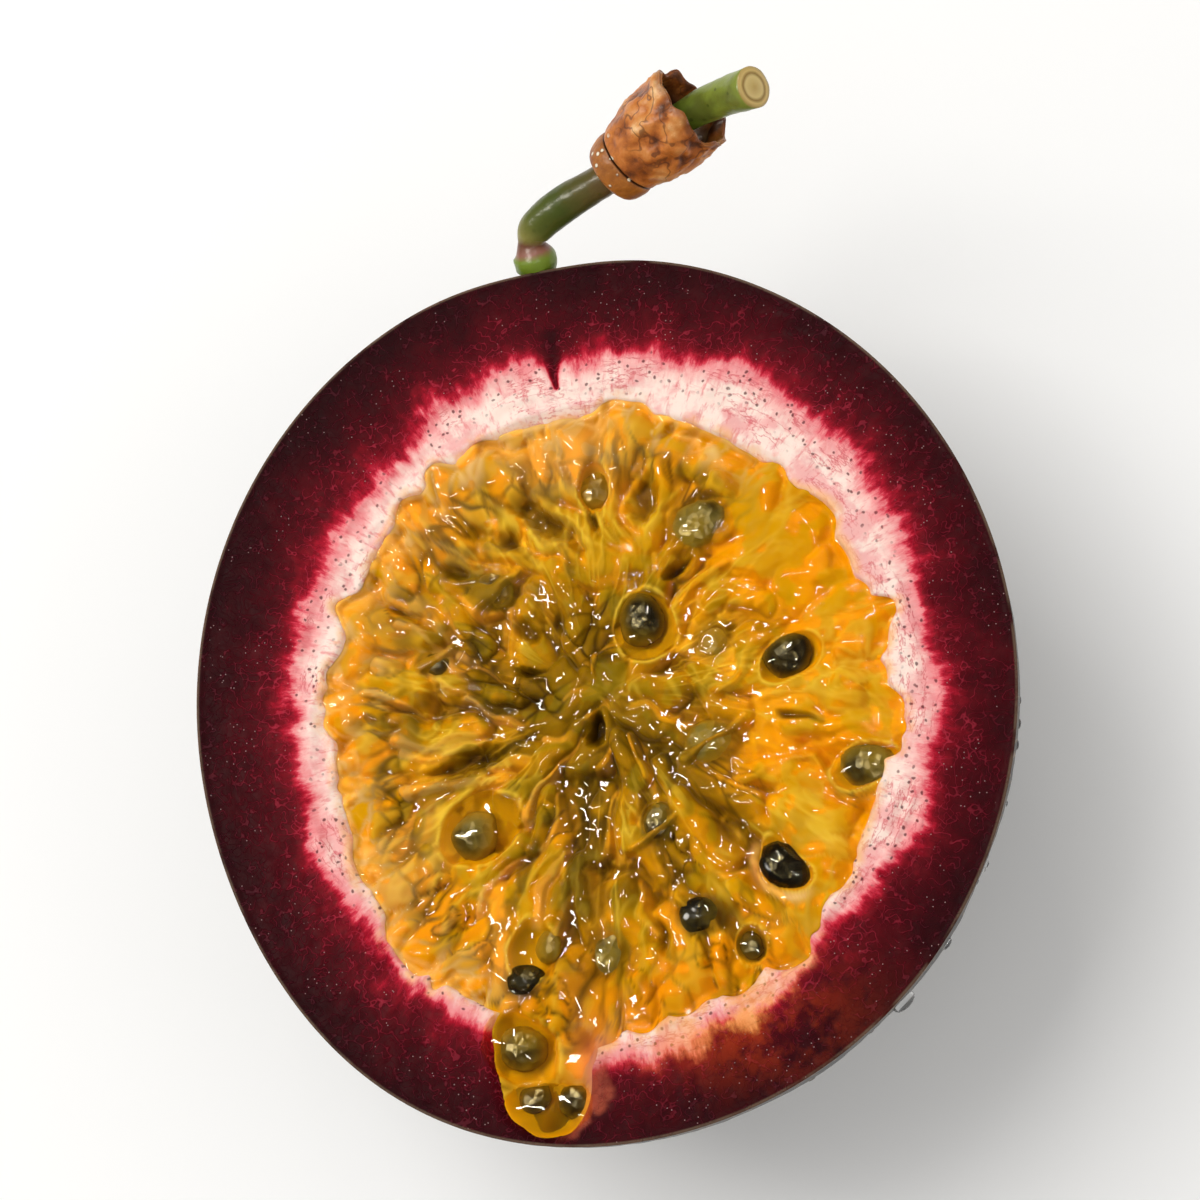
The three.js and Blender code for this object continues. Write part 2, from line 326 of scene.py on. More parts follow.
def fleshBorder(tree, place, cloud, lobes, spikePlace):
    # mm from the ragged border of the red: flesh below 0, pith above
    depth = addNode(tree, "ShaderNodeAttribute", out="Fac", attribute_name="wallDepth")
    redVein = addNode(tree, "ShaderNodeAttribute", out="Fac", attribute_name="redVein")
    spikes = addNode(tree, "ShaderNodeTexNoise", {"Vector": spikePlace, "Scale": 1.1, "Detail": 5,
                                                  "Roughness": 0.72})
    edge = depth
    for part in (centred(tree, spikes, 3.0), centred(tree, lobes, 3.6), mask(tree, redVein, -3.0),
                 mask(tree, centred(tree, cloud, 4.4), (depth, -0.5, -2.0, 0.2, 1.0))):
        edge = addNode(tree, "ShaderNodeMath", (edge, part), operation="ADD")
    return edge


def paintPith(tree, place, colour, edge, cloud, lobes, spikePlace):
    # white sponge with pink stains, red lines painted as shade in its creases, red strands, and grey ends of
    # cut bundles
    foldPlace = addNode(tree, "ShaderNodeAttribute", out="Vector", attribute_name="foldPlace")
    byPulp = addNode(tree, "ShaderNodeAttribute", out="Fac", attribute_name="byPulp")
    isPith = mask(tree, (edge, 0.2, 0.9))
    blots = addNode(tree, "ShaderNodeMath", (pattern(tree, "Noise", place, 1.92, Detail=4),
                                             centred(tree, cloud, 0.9)), operation="ADD")
    # the fold lines are painted red as the shade in the pith's creases
    fold = addNode(tree, "ShaderNodeTexNoise", {"Vector": foldPlace, "Scale": 1.3, "Detail": 4,
                                                "Roughness": 0.65})
    strand = addNode(tree, "ShaderNodeTexNoise", {"Vector": spikePlace, "Scale": 2.4, "Detail": 4,
                                                  "Roughness": 0.7})
    jumble = addNode(tree, "ShaderNodeTexNoise", {"Vector": place, "Scale": 1 / (0.667 * mm)}, "Color")
    shift = addNode(tree, "ShaderNodeVectorMath", {0: jumble, "Scale": 0.35 * mm}, operation="SCALE")
    shaken = addNode(tree, "ShaderNodeVectorMath", (place, shift), operation="ADD")
    dots = addNode(tree, "ShaderNodeTexVoronoi", {"Vector": shaken, "Scale": 1 / (0.909 * mm)},
                   voronoi_dimensions="2D")
    bundles = mask(tree, (dots, 0.15, 0.07), (edge, 0.1, 0.5), (edge, 3.2, 1.8), (lobes, 0.38, 0.48))
    return paintOver(
        tree, colour,
        (mask(tree, (blots, 0.44, 0.66), isPith), 0.5, "#e06a74"),
        (mask(tree, threads(tree, fold, 0.035, 0.0), isPith, (lobes, 0.48, 0.56)), 0.7, "#c9505a"),
        (mask(tree, (strand, 0.52, 0.68), isPith), 0.6, "#d8666c"),
        (mask(tree, byPulp, (cloud, 0.4, 0.62)), 0.75, "#efb878"),
        (bundles, 0.8, "#511a20"))


def makeWallMaterial(name):
    # the cut wall: wet maroon flesh with fine fibres, a ragged crimson border, then spongy white pith
    material, tree = newMaterial(name)
    place = addNode(tree, "ShaderNodeTexCoord", out="Object")
    spikePlace = addNode(tree, "ShaderNodeAttribute", out="Vector", attribute_name="spikePlace")
    fromSkin, juiceStain, soaked = (addNode(tree, "ShaderNodeAttribute", out="Fac", attribute_name=label)
                                    for label in ("fromSkin", "juiceStain", "soaked"))
    cloud = pattern(tree, "Noise", place, 2.38, Detail=5, Roughness=0.65)
    lobes = pattern(tree, "Noise", place, 4.76, Detail=3)
    edge = fleshBorder(tree, place, cloud, lobes, spikePlace)
    across = addNode(tree, "ShaderNodeMath", (edge, 0.1, 0.65), operation="MULTIPLY_ADD")
    colour = addNode(tree, "ShaderNodeValToRGB", (across,), stops=(
        (0.0, "#26060a"), (0.2, "#33060c"), (0.36, "#42060e"), (0.5, "#530812"), (0.585, "#760c1a"),
        (0.63, "#a8152a"), (0.658, "#d0384b"), (0.69, "#e47f82"), (0.74, "#efb6ae"), (0.84, "#f4dcce")))
    colour = paintPith(tree, place, colour, edge, cloud, lobes, spikePlace)
    isFlesh = mask(tree, (edge, 0.3, -0.5))
    coarse = mask(tree, threads(tree, pattern(tree, "Noise", place, 0.87, Detail=1), 0.034, 0.008),
                  (pattern(tree, "Noise", place, 1.32, Detail=1), 0.42, 0.5))
    fine = mask(tree, 0.7, threads(tree, pattern(tree, "Noise", place, 0.526, Detail=0), 0.036, 0.006),
                (cloud, 0.64, 0.5))
    fibres = mask(tree, addNode(tree, "ShaderNodeMath", (coarse, fine), operation="MAXIMUM"), isFlesh)
    fibreColour = addNode(tree, "ShaderNodeValToRGB", (across,),
                          stops=((0.1, "#54202a"), (0.35, "#852030"), (0.55, "#c03448")))
    dots = addNode(tree, "ShaderNodeTexVoronoi", {"Vector": place, "Scale": 1 / (0.714 * mm)},
                   voronoi_dimensions="2D")
    patches = pattern(tree, "Noise", place, 2.0, Detail=1)
    # tiny pale flecks painted as wet glints on the flesh, with a little bump
    glintFlecks = mask(tree, (dots, 0.08, 0.02), isFlesh, (patches, 0.54, 0.64))
    warm = paintOver(tree, "#97300f", (mask(tree, (edge, -1.0, 0.6)), 1.0, "#eda04e"))
    rim = mask(tree, (fromSkin, 0.24, 0.1), (pattern(tree, "Noise", place, 3.03, Detail=3), 0.3, 0.55))
    colour = paintOver(
        tree, colour,
        (fibres, 0.42, fibreColour),
        (glintFlecks, 0.75, "#cfa9a6"),
        (mask(tree, juiceStain, (cloud, 0.36, 0.58)), 0.8, warm),
        (mask(tree, soaked, (cloud, 0.25, 0.5, 0.4, 0.85)), 1.0, "#a04a35"),
        (rim, 0.8, "#6b5848"))
    raised = addNode(tree, "ShaderNodeMath", (fibres, glintFlecks), operation="ADD")
    height = addNode(tree, "ShaderNodeMath", (cloud, raised), operation="ADD")
    finishMaterial(tree, {"Base Color": colour, "Roughness": 0.4, "IOR": 1.36, "Specular IOR Level": 0.05,
                          "Subsurface Weight": 0.15, "Subsurface Radius": (1.0, 0.35, 0.3),
                          "Subsurface Scale": 0.8 * mm}, height, 0.6)
    return material


def makePulpMaterial():
    # wet pulp: amber sacs over olive depths, with pale membranes and seeds blurred below, painted shade in
    # its hollows, gaps and seams, and painted highlights among its pale and cream marks
    material, tree = newMaterial("amberPulp")
    place = addNode(tree, "ShaderNodeTexCoord", out="Object")
    cloud = pattern(tree, "Noise", place, 2.38, Detail=4)
    tone, shade, recessShade, paleAndHighlight, creamAndHighlight, blush = (
        addNode(tree, "ShaderNodeAttribute", out="Fac", attribute_name=label)
        for label in ("tone", "shade", "recessShade", "paleAndHighlight", "creamAndHighlight", "blush"))
    tone = addNode(tree, "ShaderNodeMath", (tone, centred(tree, cloud, 0.4)), operation="ADD")
    amber = addNode(tree, "ShaderNodeValToRGB", (tone,), stops=(
        (0.0, "#80640a"), (0.25, "#a47b08"), (0.5, "#c08a04"), (0.7, "#d09402"), (0.85, "#d09002"),
        (1.0, "#cf8a02")))
    # the dark of hollows, gaps and seams is painted shade; the pale and cream marks are partly painted
    # highlights
    colour = paintOver(tree, amber, (shade, 1.0, "#2c240f"), (recessShade, 1.0, "#301d03"), (paleAndHighlight, 1.0, "#ecc238"),
                       (creamAndHighlight, 1.0, "#e9bd78"), (blush, 1.0, "#c9765a"))
    finishMaterial(tree, {"Base Color": colour, "Roughness": 0.3, "IOR": 1.36, "Specular IOR Level": 0.03,
                          "Subsurface Weight": 0.25, "Subsurface Radius": (1.0, 0.6, 0.08),
                          "Subsurface Scale": 0.8 * mm}, cloud, 0.5)
    return material


def makeSeedMaterial():
    # hard pitted seed coat seen through a haze of gel, so greyish olive and not black
    material, tree = newMaterial("seedCoat")
    place = addNode(tree, "ShaderNodeTexCoord", out="Object")
    tone = addNode(tree, "ShaderNodeAttribute", out="Fac", attribute_name="tone")
    shade = addNode(tree, "ShaderNodeMath", (pattern(tree, "Noise", place, 2.0, Detail=3),
                                             centred(tree, tone, 0.6)), operation="ADD")
    coat = addNode(tree, "ShaderNodeValToRGB", (shade,), stops=(
        (0.2, "#0b0805"), (0.42, "#1c170c"), (0.6, "#3a3317"), (0.8, "#686034")))
    haze = mask(tree, (pattern(tree, "Noise", place, 3.03, Detail=3), 0.42, 0.62), tone)
    level = addNode(tree, "ShaderNodeSeparateXYZ", (place,), "Z")
    juiceTop, juiceDepth = (fruit["cutHeight"] - 0.5) * mm, 0.75 * mm
    sunk = mask(tree, (level, juiceTop, juiceTop - juiceDepth),
                addNode(tree, "ShaderNodeMath", (tone, 0.6, 0.3), operation="MULTIPLY_ADD"))
    # haze and juice over its lower side
    colour = paintOver(tree, coat, (haze, 1.0, "#7a6a24"), (sunk, 1.0, "#93700f"))
    pits = pattern(tree, "Voronoi", place, 0.556)
    finishMaterial(tree, {"Base Color": colour, "Roughness": 0.22, "IOR": 1.45, "Specular IOR Level": 0.4},
                   pits, 0.5)
    return material


def clearMaterial(name, colour, roughness, ior, ripples=0.0):
    # a clear wet body that lets the lamps through to what lies in it
    material, tree = newMaterial(name)
    place = addNode(tree, "ShaderNodeTexCoord", out="Object")
    relief = {"Strength": ripples, "Distance": 0.2 * mm, "Height": pattern(tree, "Noise", place, 1.43)}
    body = addNode(tree, "ShaderNodeBsdfPrincipled", {
        "Base Color": colour, "Roughness": roughness, "IOR": ior, "Transmission Weight": 1.0,
        "Normal": addNode(tree, "ShaderNodeBump", relief)})
    through = addNode(tree, "ShaderNodeBsdfTransparent", {"Color": colour})
    shadowRay = addNode(tree, "ShaderNodeLightPath", out="Is Shadow Ray")
    mixed = addNode(tree, "ShaderNodeMixShader", (shadowRay, body, through))
    addNode(tree, "ShaderNodeOutputMaterial", {"Surface": mixed})
    return material


# The shell: peel outside, cut flesh on top and its lining inside, all one skin.
shellLook = {
    "sides": 720, "skinRows": 58, "cutRows": 38, "liningRows": 8,
    "dentDepth": 0.16, "dentGrain": 8.0,        # slow waves of the peel
    "pebbleDepth": 0.03, "pebbleGrain": 0.9,    # fine orange-peel texture
    "lipWidth": 0.3, "lipHeight": 0.06,         # peel stands a hair over the shrinking flesh
    "crowding": 1.3,                            # rows lie closer towards the rim
    "liningDip": math.radians(82),
}
redVein = {"at": math.radians(91), "width": 0.25, "growth": 0.09, "sway": 0.3, "from": 21.3, "to": 25.0}
wallLook = {
    "fleshGrain": 0.05, "pithLumps": 0.1, "pithFolds": 0.5, "pithSink": 0.38, "cleftDepth": 0.35,
    "patternCircle": 22.0,                      # the pattern keeps one width round the fruit
    "juiceStainAt": (7.0, -23.0), "juiceStainSize": (4.5, 2.2),
}


def cleft(points, angle, radius):
    # a split in the pith below the stalk, wider towards the flesh, that shows red
    off = (angle - redVein["at"]) * radius + redVein["sway"] * softNoise(points, 1.4, 61)
    width = redVein["width"] + redVein["growth"] * np.maximum(radius - redVein["from"], 0)
    split = np.exp(-(off / width) ** 2) * smoothStep(radius, redVein["from"] - 0.5, redVein["from"])
    return split * smoothStep(radius, redVein["to"] + 0.8, redVein["to"])


def wallRelief(points, depth):
    # fine wet texture of the flesh, softer and deeper in the pith, which folds round the pulp
    angle = np.arctan2(points[:, 1], points[:, 0])
    radius = np.hypot(points[:, 0], points[:, 1])
    along = np.stack([4.5 * np.cos(angle), 4.5 * np.sin(angle), radius * 1.1], axis=-1)
    fold = 1 - np.abs(layeredNoise(along, 1.5, 41, 2))
    inPith = smoothStep(depth, 0, 1.2)
    lumps = wallLook["pithLumps"] * layeredNoise(points, 1.5, 51, 3)
    soft = lumps + wallLook["pithFolds"] * fold - wallLook["pithSink"]
    soft = soft - wallLook["cleftDepth"] * cleft(points, angle, radius)
    return wallLook["fleshGrain"] * layeredNoise(points, 0.9, 31, 3) + inPith * soft


def addWallPattern(mesh, points, depth, fromSkin):
    angle = np.arctan2(points[:, 1], points[:, 0])
    radius = np.hypot(points[:, 0], points[:, 1])
    circle = wallLook["patternCircle"]
    out = np.stack([circle * np.cos(angle), circle * np.sin(angle), radius], axis=-1)
    addAttribute(mesh, "spikePlace", out * (1, 1, 0.35))
    addAttribute(mesh, "foldPlace", out * (0.3, 0.3, 1))
    addAttribute(mesh, "wallDepth", depth - stainEdge(angle))
    addAttribute(mesh, "fromSkin", fromSkin)
    (stainX, stainY), (stainWide, stainLong) = wallLook["juiceStainAt"], wallLook["juiceStainSize"]
    stain = np.exp(-0.5 * ((points[:, 0] - stainX) / stainWide) ** 2
                   - 0.5 * ((points[:, 1] - stainY) / stainLong) ** 2)
    addAttribute(mesh, "juiceStain", stain)
    addAttribute(mesh, "redVein", cleft(points, angle, radius))
    ragged = 0.06 * layeredNoise(points, 0.8, 181, 2)
    soaked = smoothStep(notchShare(points[:, 0], points[:, 1], spill["room"]) + ragged, 0.93, 0.85)
    soaked = soaked * smoothStep(points[:, 1], -23.0, -25.5) * smoothStep(points[:, 0], -6.5, -4.5)
    addAttribute(mesh, "soaked", soaked)


def makeShell(look):
    angle = around(look["sides"])
    skin = skinRadius(angle)
    rim = cutFace(angle, skin)
    wall = wallAt(angle, shellWall)
    flatDip = math.asin(fruit["cutHeight"] / fruit["halfDepth"])
    rows, fromSkin, underRim = [], [], []
    for step in range(look["skinRows"]):
        dip = flatDip * (1 - step / (look["skinRows"] - 1)) ** look["crowding"]
        height = np.maximum(rim - fruit["halfDepth"] * math.sin(dip) * rim / fruit["cutHeight"], 0)
        points = ringPoints(angle, skin * math.cos(dip), height)
        push = look["dentDepth"] * layeredNoise(points, look["dentGrain"], 11, 2)
        push += look["pebbleDepth"] * layeredNoise(points, look["pebbleGrain"], 21, 2)
        push *= smoothStep(height, 0.0, 2.0) * smoothStep(rim - height, 0.0, 1.5)
        outward = ringPoints(angle, skin * math.cos(dip), -fruit["halfDepth"] * math.sin(dip))
        rows.append(points + outward / np.linalg.norm(outward, axis=1)[:, None] * push[:, None])
        fromSkin.append(0 * angle)
        underRim.append(rim - height)
    for step in range(1, look["cutRows"]):
        inset = wall * step / (look["cutRows"] - 1)
        points = ringPoints(angle, skin - inset, cutFace(angle, skin - inset))
        relief = wallRelief(points, inset - wall)
        lip = look["lipHeight"] * smoothStep(inset, look["lipWidth"] * 1.6, look["lipWidth"])
        points[:, 2] += relief * smoothStep(inset, 0.0, 0.6) + lip
        points[:, 2] = np.minimum(points[:, 2], notchFloor(points[:, 0], points[:, 1]))
        rows.append(points)
        fromSkin.append(inset)
        underRim.append(0 * angle)
    for step in range(1, look["liningRows"]):
        dip = look["liningDip"] * step / (look["liningRows"] - 1)
        height = cutFace(angle, skin - wall) - (fruit["halfDepth"] - wall) * math.sin(dip)
        rows.append(ringPoints(angle, (skin - wall) * math.cos(dip), height))
        fromSkin.append(wall)
        underRim.append(0 * angle)
    corner = look["skinRows"] + look["cutRows"] - 2
    mesh, points = ringMesh("fruitShell", np.array(rows), (corner,))
    depth = np.array(fromSkin) - wall
    addWallPattern(mesh, points, withPoles(depth), withPoles(fromSkin))
    addAttribute(mesh, "underRim", withPoles(underRim))
    mesh.materials.append(makeSkinMaterial())
    mesh.materials.append(makeWallMaterial("maroonFlesh"))
    index = np.ones(len(mesh.polygons), dtype=np.int32)
    index[:(look["skinRows"] - 1) * look["sides"]] = 0
    poleFaces = (len(rows) - 1) * look["sides"]     # those on the flat spot
    index[poleFaces:poleFaces + look["sides"]] = 0
    mesh.polygons.foreach_set("material_index", index)
    return linkObject("fruitShell", mesh)


print("shell")
fruitShell = makeShell(shellLook)
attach(fruitShell, "root")
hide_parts("shell")

# The pulp: border sacs like spokes, looser ones inside, hollows where seeds lie.
pulpLook = {
    "sides": 660, "topRows": 145, "underRows": 5,
    "borderSacs": 44, "borderWidths": (0.5, 1.7), "borderLength": (2.5, 6.5),
    "borderShift": (-1.2, 0.5), "borderTop": (-0.7, 0.1), "borderDrop": (0.3, 1.0),
    "buds": 56, "budLength": (0.3, 1.6), "budWidth": (0.9, 2.1), "budShare": (0.78, 0.97),
    "budTop": (-0.6, 0.05),
    "innerRings": [(0.86, 44, (2.0, 4.5), (1.2, 2.2)), (0.74, 36, (2.5, 5.5), (1.1, 2.4)),
                   (0.56, 30, (2.5, 5.5), (1.1, 2.4)), (0.38, 22, (2.5, 5.5), (1.1, 2.4)),
                   (0.2, 12, (2.5, 4.5), (1.3, 2.4)), (0.05, 4, (2.0, 3.5), (1.5, 2.6))],
    "innerTop": (-1.3, -0.5),
    "fingers": 0.6, "fingerLength": (2.0, 6.5), "fingerWidth": (0.4, 0.9),   # pale roots of the sacs
    "membranes": 0.55, "membraneWidth": (0.25, 0.5),      # pale seams beside the inner sacs
    "outlineRounding": 11, "wedge": 1.0,      # how far the pith reaches in between two border sacs
    "roundness": 0.95, "seamSharpness": 9.0, "warp": 0.75, "warpGrain": 3.0, "floor": -2.1,
    "streak": 0.18, "ridgeWidth": 0.13, "seamWidth": 0.22, "wrinkle": 0.08, "wrinkleGrain": 1.1,
    "bead": 0.42, "beads": 52, "beadSway": 1.6, "bowl": 1.2, "edgeHeight": -0.28,
    "rimDepth": 3.4, "underDip": math.radians(80),      # the sides of the bed below
    "juiceLevel": -0.95, "juiceWave": 0.14, "film": 0.03, "filmSoftness": 0.08,
    "ripple": 0.11, "rippleGrain": 0.75,
    "dome": 0.3,       # how high a clear sac stands, as a share of its width
}
wideSacs = [{"at": math.radians(97), "spread": math.radians(17), "rise": 0.9},
            {"at": math.radians(40), "spread": math.radians(18), "rise": 0.5}]
# Clear sacs that bulge out of the pulp: x, y, turn of the long way, length and width.
clearSacs = [
    (3.5, 4.1, 92, 4.9, 3.8), (12.9, 0.6, 32, 4.3, 3.1), (17.0, -7.4, 2, 4.4, 2.8),
    (10.7, -13.2, -48, 4.2, 3.0), (-9.0, -7.9, 27, 6.0, 3.9), (8.0, -18.0, 92, 2.6, 1.7),
    (-6.6, -16.3, 67, 4.4, 3.1), (1.4, 14.0, 80, 3.8, 2.3), (-8.4, -22.5, 145, 6.2, 4.8),
    (-6.4, -27.0, -6, 7.2, 3.8),
]
# Seeds: x, y, turn, length, how deep its middle lies under the cut face, and tone from black to grey olive.
sacSeeds = [
    (3.4, 4.6, 92, 3.4, 1.3, 0.35), (12.9, 0.6, 32, 3.1, 1.1, 0.3), (17.1, -7.4, 2, 3.4, 1.1, 0.7),
    (10.8, -13.2, -48, 3.5, 1.0, 0.0), (-9.5, -8.1, 40, 3.2, 1.4, 0.9), (8.0, -18.0, 92, 1.7, 1.0, 0.2),
    (-5.5, -16.2, 60, 2.3, 1.3, 0.85), (1.4, 14.0, 80, 2.4, 1.5, 0.8), (-8.1, -22.6, 165, 3.1, 1.4, 0.6),
    (-7.4, -26.1, 8, 2.1, 1.3, 0.2), (-4.8, -26.6, -35, 2.4, 1.3, 0.4),
]
sunkSeeds = [      # these have no clear sac and lie under the juice
    (8.0, 10.6, 27, 4.3, 1.5, 0.85), (2.8, -9.1, 70, 2.8, 1.3, 0.45), (5.0, -15.6, 12, 3.1, 1.1, 0.35),
    (-1.5, -17.2, 82, 3.2, 1.35, 0.8), (7.1, -4.3, 10, 4.0, 1.7, 0.9), (-6.6, 8.4, 150, 3.3, 1.6, 0.7),
    (7.9, 2.5, 60, 3.0, 1.8, 0.8), (-11.0, 3.9, 160, 2.5, 1.4, 0.4), (-7.2, -18.2, 15, 2.6, 0.85, 0.1),
]
# Hazy dark places of seeds deeper still: x, y, radius and how dark.
dimSeeds = [(-4.5, 1.0, 2.2, 0.4), (-2.0, 6.2, 1.8, 0.35), (-4.6, -12.6, 1.8, 0.35), (0.6, -13.4, 1.6, 0.35),
            (-3.4, -18.4, 2.1, 0.45)]
# Gaps down between the sacs, painted dark as shade: x, y, turn, length, width and depth.
gaps = [(-9.6, -3.2, 183, 5.6, 1.8, 1.4), (-2.4, 12.3, 130, 6.4, 1.9, 1.3), (-4.3, 2.5, 20, 1.5, 0.9, 1.3),
        (-1.0, -2.4, 75, 2.2, 1.1, 2.2), (4.9, 12.4, 74, 4.6, 1.3, 1.0), (-5.2, -19.0, 60, 2.4, 0.8, 1.0),
        (6.2, 7.6, 25, 3.0, 0.9, 0.9), (-8.6, 9.4, 150, 3.4, 1.3, 1.0), (1.6, -16.2, 80, 2.4, 0.7, 0.9),
        (-5.4, 11.4, 142, 4.8, 1.5, 1.1), (0.6, 11.6, 104, 3.6, 0.9, 0.8), (-4.6, 5.2, 165, 3.4, 1.0, 0.8),
        (-13.2, 8.2, 155, 3.2, 0.9, 0.9), (-14.0, 1.2, 178, 3.0, 0.8, 0.8), (13.4, -3.4, 165, 3.0, 0.8, 0.6)]
# Long sacs that fan out from one point above the middle: degrees, share of the way out, width.
hub = np.array([3.2, 6.4])
fan = [(128, 0.82, 1.7), (116, 0.88, 2.2), (104, 0.84, 1.8), (94, 0.86, 1.6), (84, 0.82, 2.0),
       (66, 0.8, 1.8), (50, 0.76, 1.5)]
# A milky rim that hugs one side of a clear sac, on the way given.
halo = {"sac": (10.7, -13.2, -48, 4.2, 3.0), "way": (-0.75, -0.65)}
# Stretches with their own colour: x, y, size, change of tone and how smooth they lie.
washes = [(15.0, 5.5, 5.5, 0.14, 0.95), (12.2, -4.7, 4.0, 0.1, 0.7), (-0.5, 17.5, 3.5, 0.16, 0.0),
          (-15.5, 5.5, 4.0, 0.14, 0.3), (1.7, -19.0, 3.5, 0.1, 0.5), (-3.0, 1.0, 5.5, -0.1, 0.0),
          (-2.5, -16.5, 4.2, -0.18, 0.0)]
# Sacs of the spill: ends, half-widths, heights, tone and paleness.
spillSacs = [(-8.9, -23.8, -7.4, -18.5, 2.9, 2.6, -1.2, -0.4, 0.75, 0.0),
             (-4.0, -24.6, -3.4, -18.5, 2.3, 2.6, -0.9, -0.2, 0.85, 0.1),
             (-8.6, -26.8, -4.6, -27.0, 2.0, 2.0, -1.6, -1.5, 0.6, 0.0),
             (-2.9, -26.4, -2.9, -23.4, 0.7, 0.9, -0.6, -0.4, 0.9, 0.45)]
# Strands that span the pulp: ends x, y, x, y and thickness.
strands = [(-5.0, 17.0, 1.6, 8.2, 0.7), (-3.4, 12.2, 1.2, 7.2, 0.5), (-0.8, 16.4, 2.4, 8.4, 0.5),
           (3.4, 16.8, 2.8, 8.2, 0.5), (9.8, 7.2, 4.6, 4.2, 0.6), (-12.4, 13.6, -6.0, 9.2, 0.6),
           (-13.6, 7.2, -8.0, 1.8, 0.5), (-14.6, -1.2, -8.4, -1.6, 0.5), (-13.6, -5.0, -6.8, -5.2, 0.9),
           (9.0, -7.4, 13.4, -6.4, 0.5), (12.4, -10.4, 16.4, -11.6, 0.5), (7.4, -0.6, 12.0, 3.6, 0.4)]
# Membranes that lie over seeds: ends x, y, x, y and width.
membranes = [(3.4, -14.2, 6.4, -16.8, 0.4), (5.2, -5.8, 9.0, -3.2, 0.5), (1.2, -10.4, 4.2, -8.2, 0.4),
             (-8.0, 7.2, -5.0, 9.2, 0.45), (-12.2, 3.2, -9.8, 4.8, 0.4)]
overSeeds = np.array([(*ends, width / 2, width * 0.3, -0.3, -0.6, 0.45, 0.1) for *ends, width in membranes])


def placeBorderSacs(look):
    # a row of sacs along the edge, and the pale fingers of pith between some of them
    sacs, fingers = [], []
    evenly = np.arange(look["borderSacs"]) / look["borderSacs"] * fullTurn
    widths = rng.uniform(*look["borderWidths"], len(evenly))
    widths = widths * (1 + sum(swelling(evenly, bump) for bump in wideSacs))
    rooms = widths / widths.sum() * fullTurn
    for angle, room in zip(np.cumsum(rooms) - rooms / 2, rooms):
        radius = pulpRadius(angle) + rng.uniform(*look["borderShift"])
        halfWidth = radius * room / 2 * rng.uniform(1.0, 1.3)
        end = radius - halfWidth
        inner = end - rng.uniform(*look["borderLength"])
        lean = rng.normal(0, 0.07)
        top = rng.uniform(*look["borderTop"])
        sacs.append((end * math.cos(angle), end * math.sin(angle), inner * math.cos(angle + lean),
                     inner * math.sin(angle + lean), halfWidth, halfWidth * 0.62, top,
                     top - rng.uniform(*look["borderDrop"]), rng.uniform(0.5, 0.95),
                     max(0, rng.uniform(-0.4, 0.5))))
        if rng.random() < look["fingers"]:
            seam = angle + room / 2
            start = pulpRadius(seam) - look["wedge"] * 0.6
            stop = start - rng.uniform(*look["fingerLength"])
            bend = rng.normal(0, 0.06)
            width = rng.uniform(*look["fingerWidth"]) / 2
            fingers.append((start * math.cos(seam), start * math.sin(seam), stop * math.cos(seam + bend),
                            stop * math.sin(seam + bend), width, 0.1, top - 0.1, top - 0.7, 0.9,
                            rng.uniform(0.3, 0.9)))
    return sacs, fingers


def placeBuds(look):
    # short sacs that crowd between the others near the edge
    sacs = []
    for i in range(look["buds"]):
        angle = (i + rng.uniform(-0.5, 0.5)) / look["buds"] * fullTurn
        middle = pulpRadius(angle) * rng.uniform(*look["budShare"])
        half = rng.uniform(*look["budLength"]) / 2
        turn = angle + rng.normal(0, 0.3)
        x, y = middle * math.cos(angle), middle * math.sin(angle)
        halfWidth = rng.uniform(*look["budWidth"]) / 2
        top = rng.uniform(*look["budTop"])
        sacs.append((x + half * math.cos(turn), y + half * math.sin(turn), x - half * math.cos(turn),
                     y - half * math.sin(turn), halfWidth, halfWidth * 0.8, top, top - rng.uniform(0, 0.4),
                     rng.uniform(0.5, 1.0), rng.uniform(0, 0.6)))
    return sacs


def placeFan():
    sacs = []
    for degree, share, width in fan:
        angle = math.radians(degree)
        end = pulpRadius(angle) * share * np.array([math.cos(angle), math.sin(angle)])
        sacs.append((*end, *(hub + 0.15 * (end - hub)), width / 2, width * 0.26, -0.3, -0.8, 0.55, 0.15))
    return sacs


def placeInnerSacs(look):
    # rings of looser sacs towards the middle, and the pale membranes beside some of them
    sacs, membranes = [], []
    for share, number, lengths, widths in look["innerRings"]:
        for i in range(number):
            angle = (i + rng.uniform(-0.4, 0.4)) / number * fullTurn + share * 9
            middle = pulpRadius(angle) * (share + rng.uniform(-0.06, 0.06))
            half = rng.uniform(*lengths) / 2
            turn = angle + rng.normal(0, 0.35)
            x, y = middle * math.cos(angle), middle * math.sin(angle)
            halfWidth = rng.uniform(*widths) / 2
            top = rng.uniform(*look["innerTop"])
            ends = np.array([x + half * math.cos(turn), y + half * math.sin(turn),
                             x - half * math.cos(turn), y - half * math.sin(turn)])
            sacs.append((*ends, halfWidth, halfWidth * 0.8, top, top - rng.uniform(-0.4, 0.6),
                         rng.uniform(0.0, 0.6) * (0.5 + share), 0.0))
            if rng.random() < look["membranes"]:
                beside = halfWidth * np.array([-math.sin(turn), math.cos(turn)] * 2)
                width = rng.uniform(*look["membraneWidth"]) / 2
                membranes.append((*(ends + beside), width, 0.1, top + 0.05, top - 0.5, 0.7,
                                  rng.uniform(0.15, 0.7)))
    return sacs, membranes


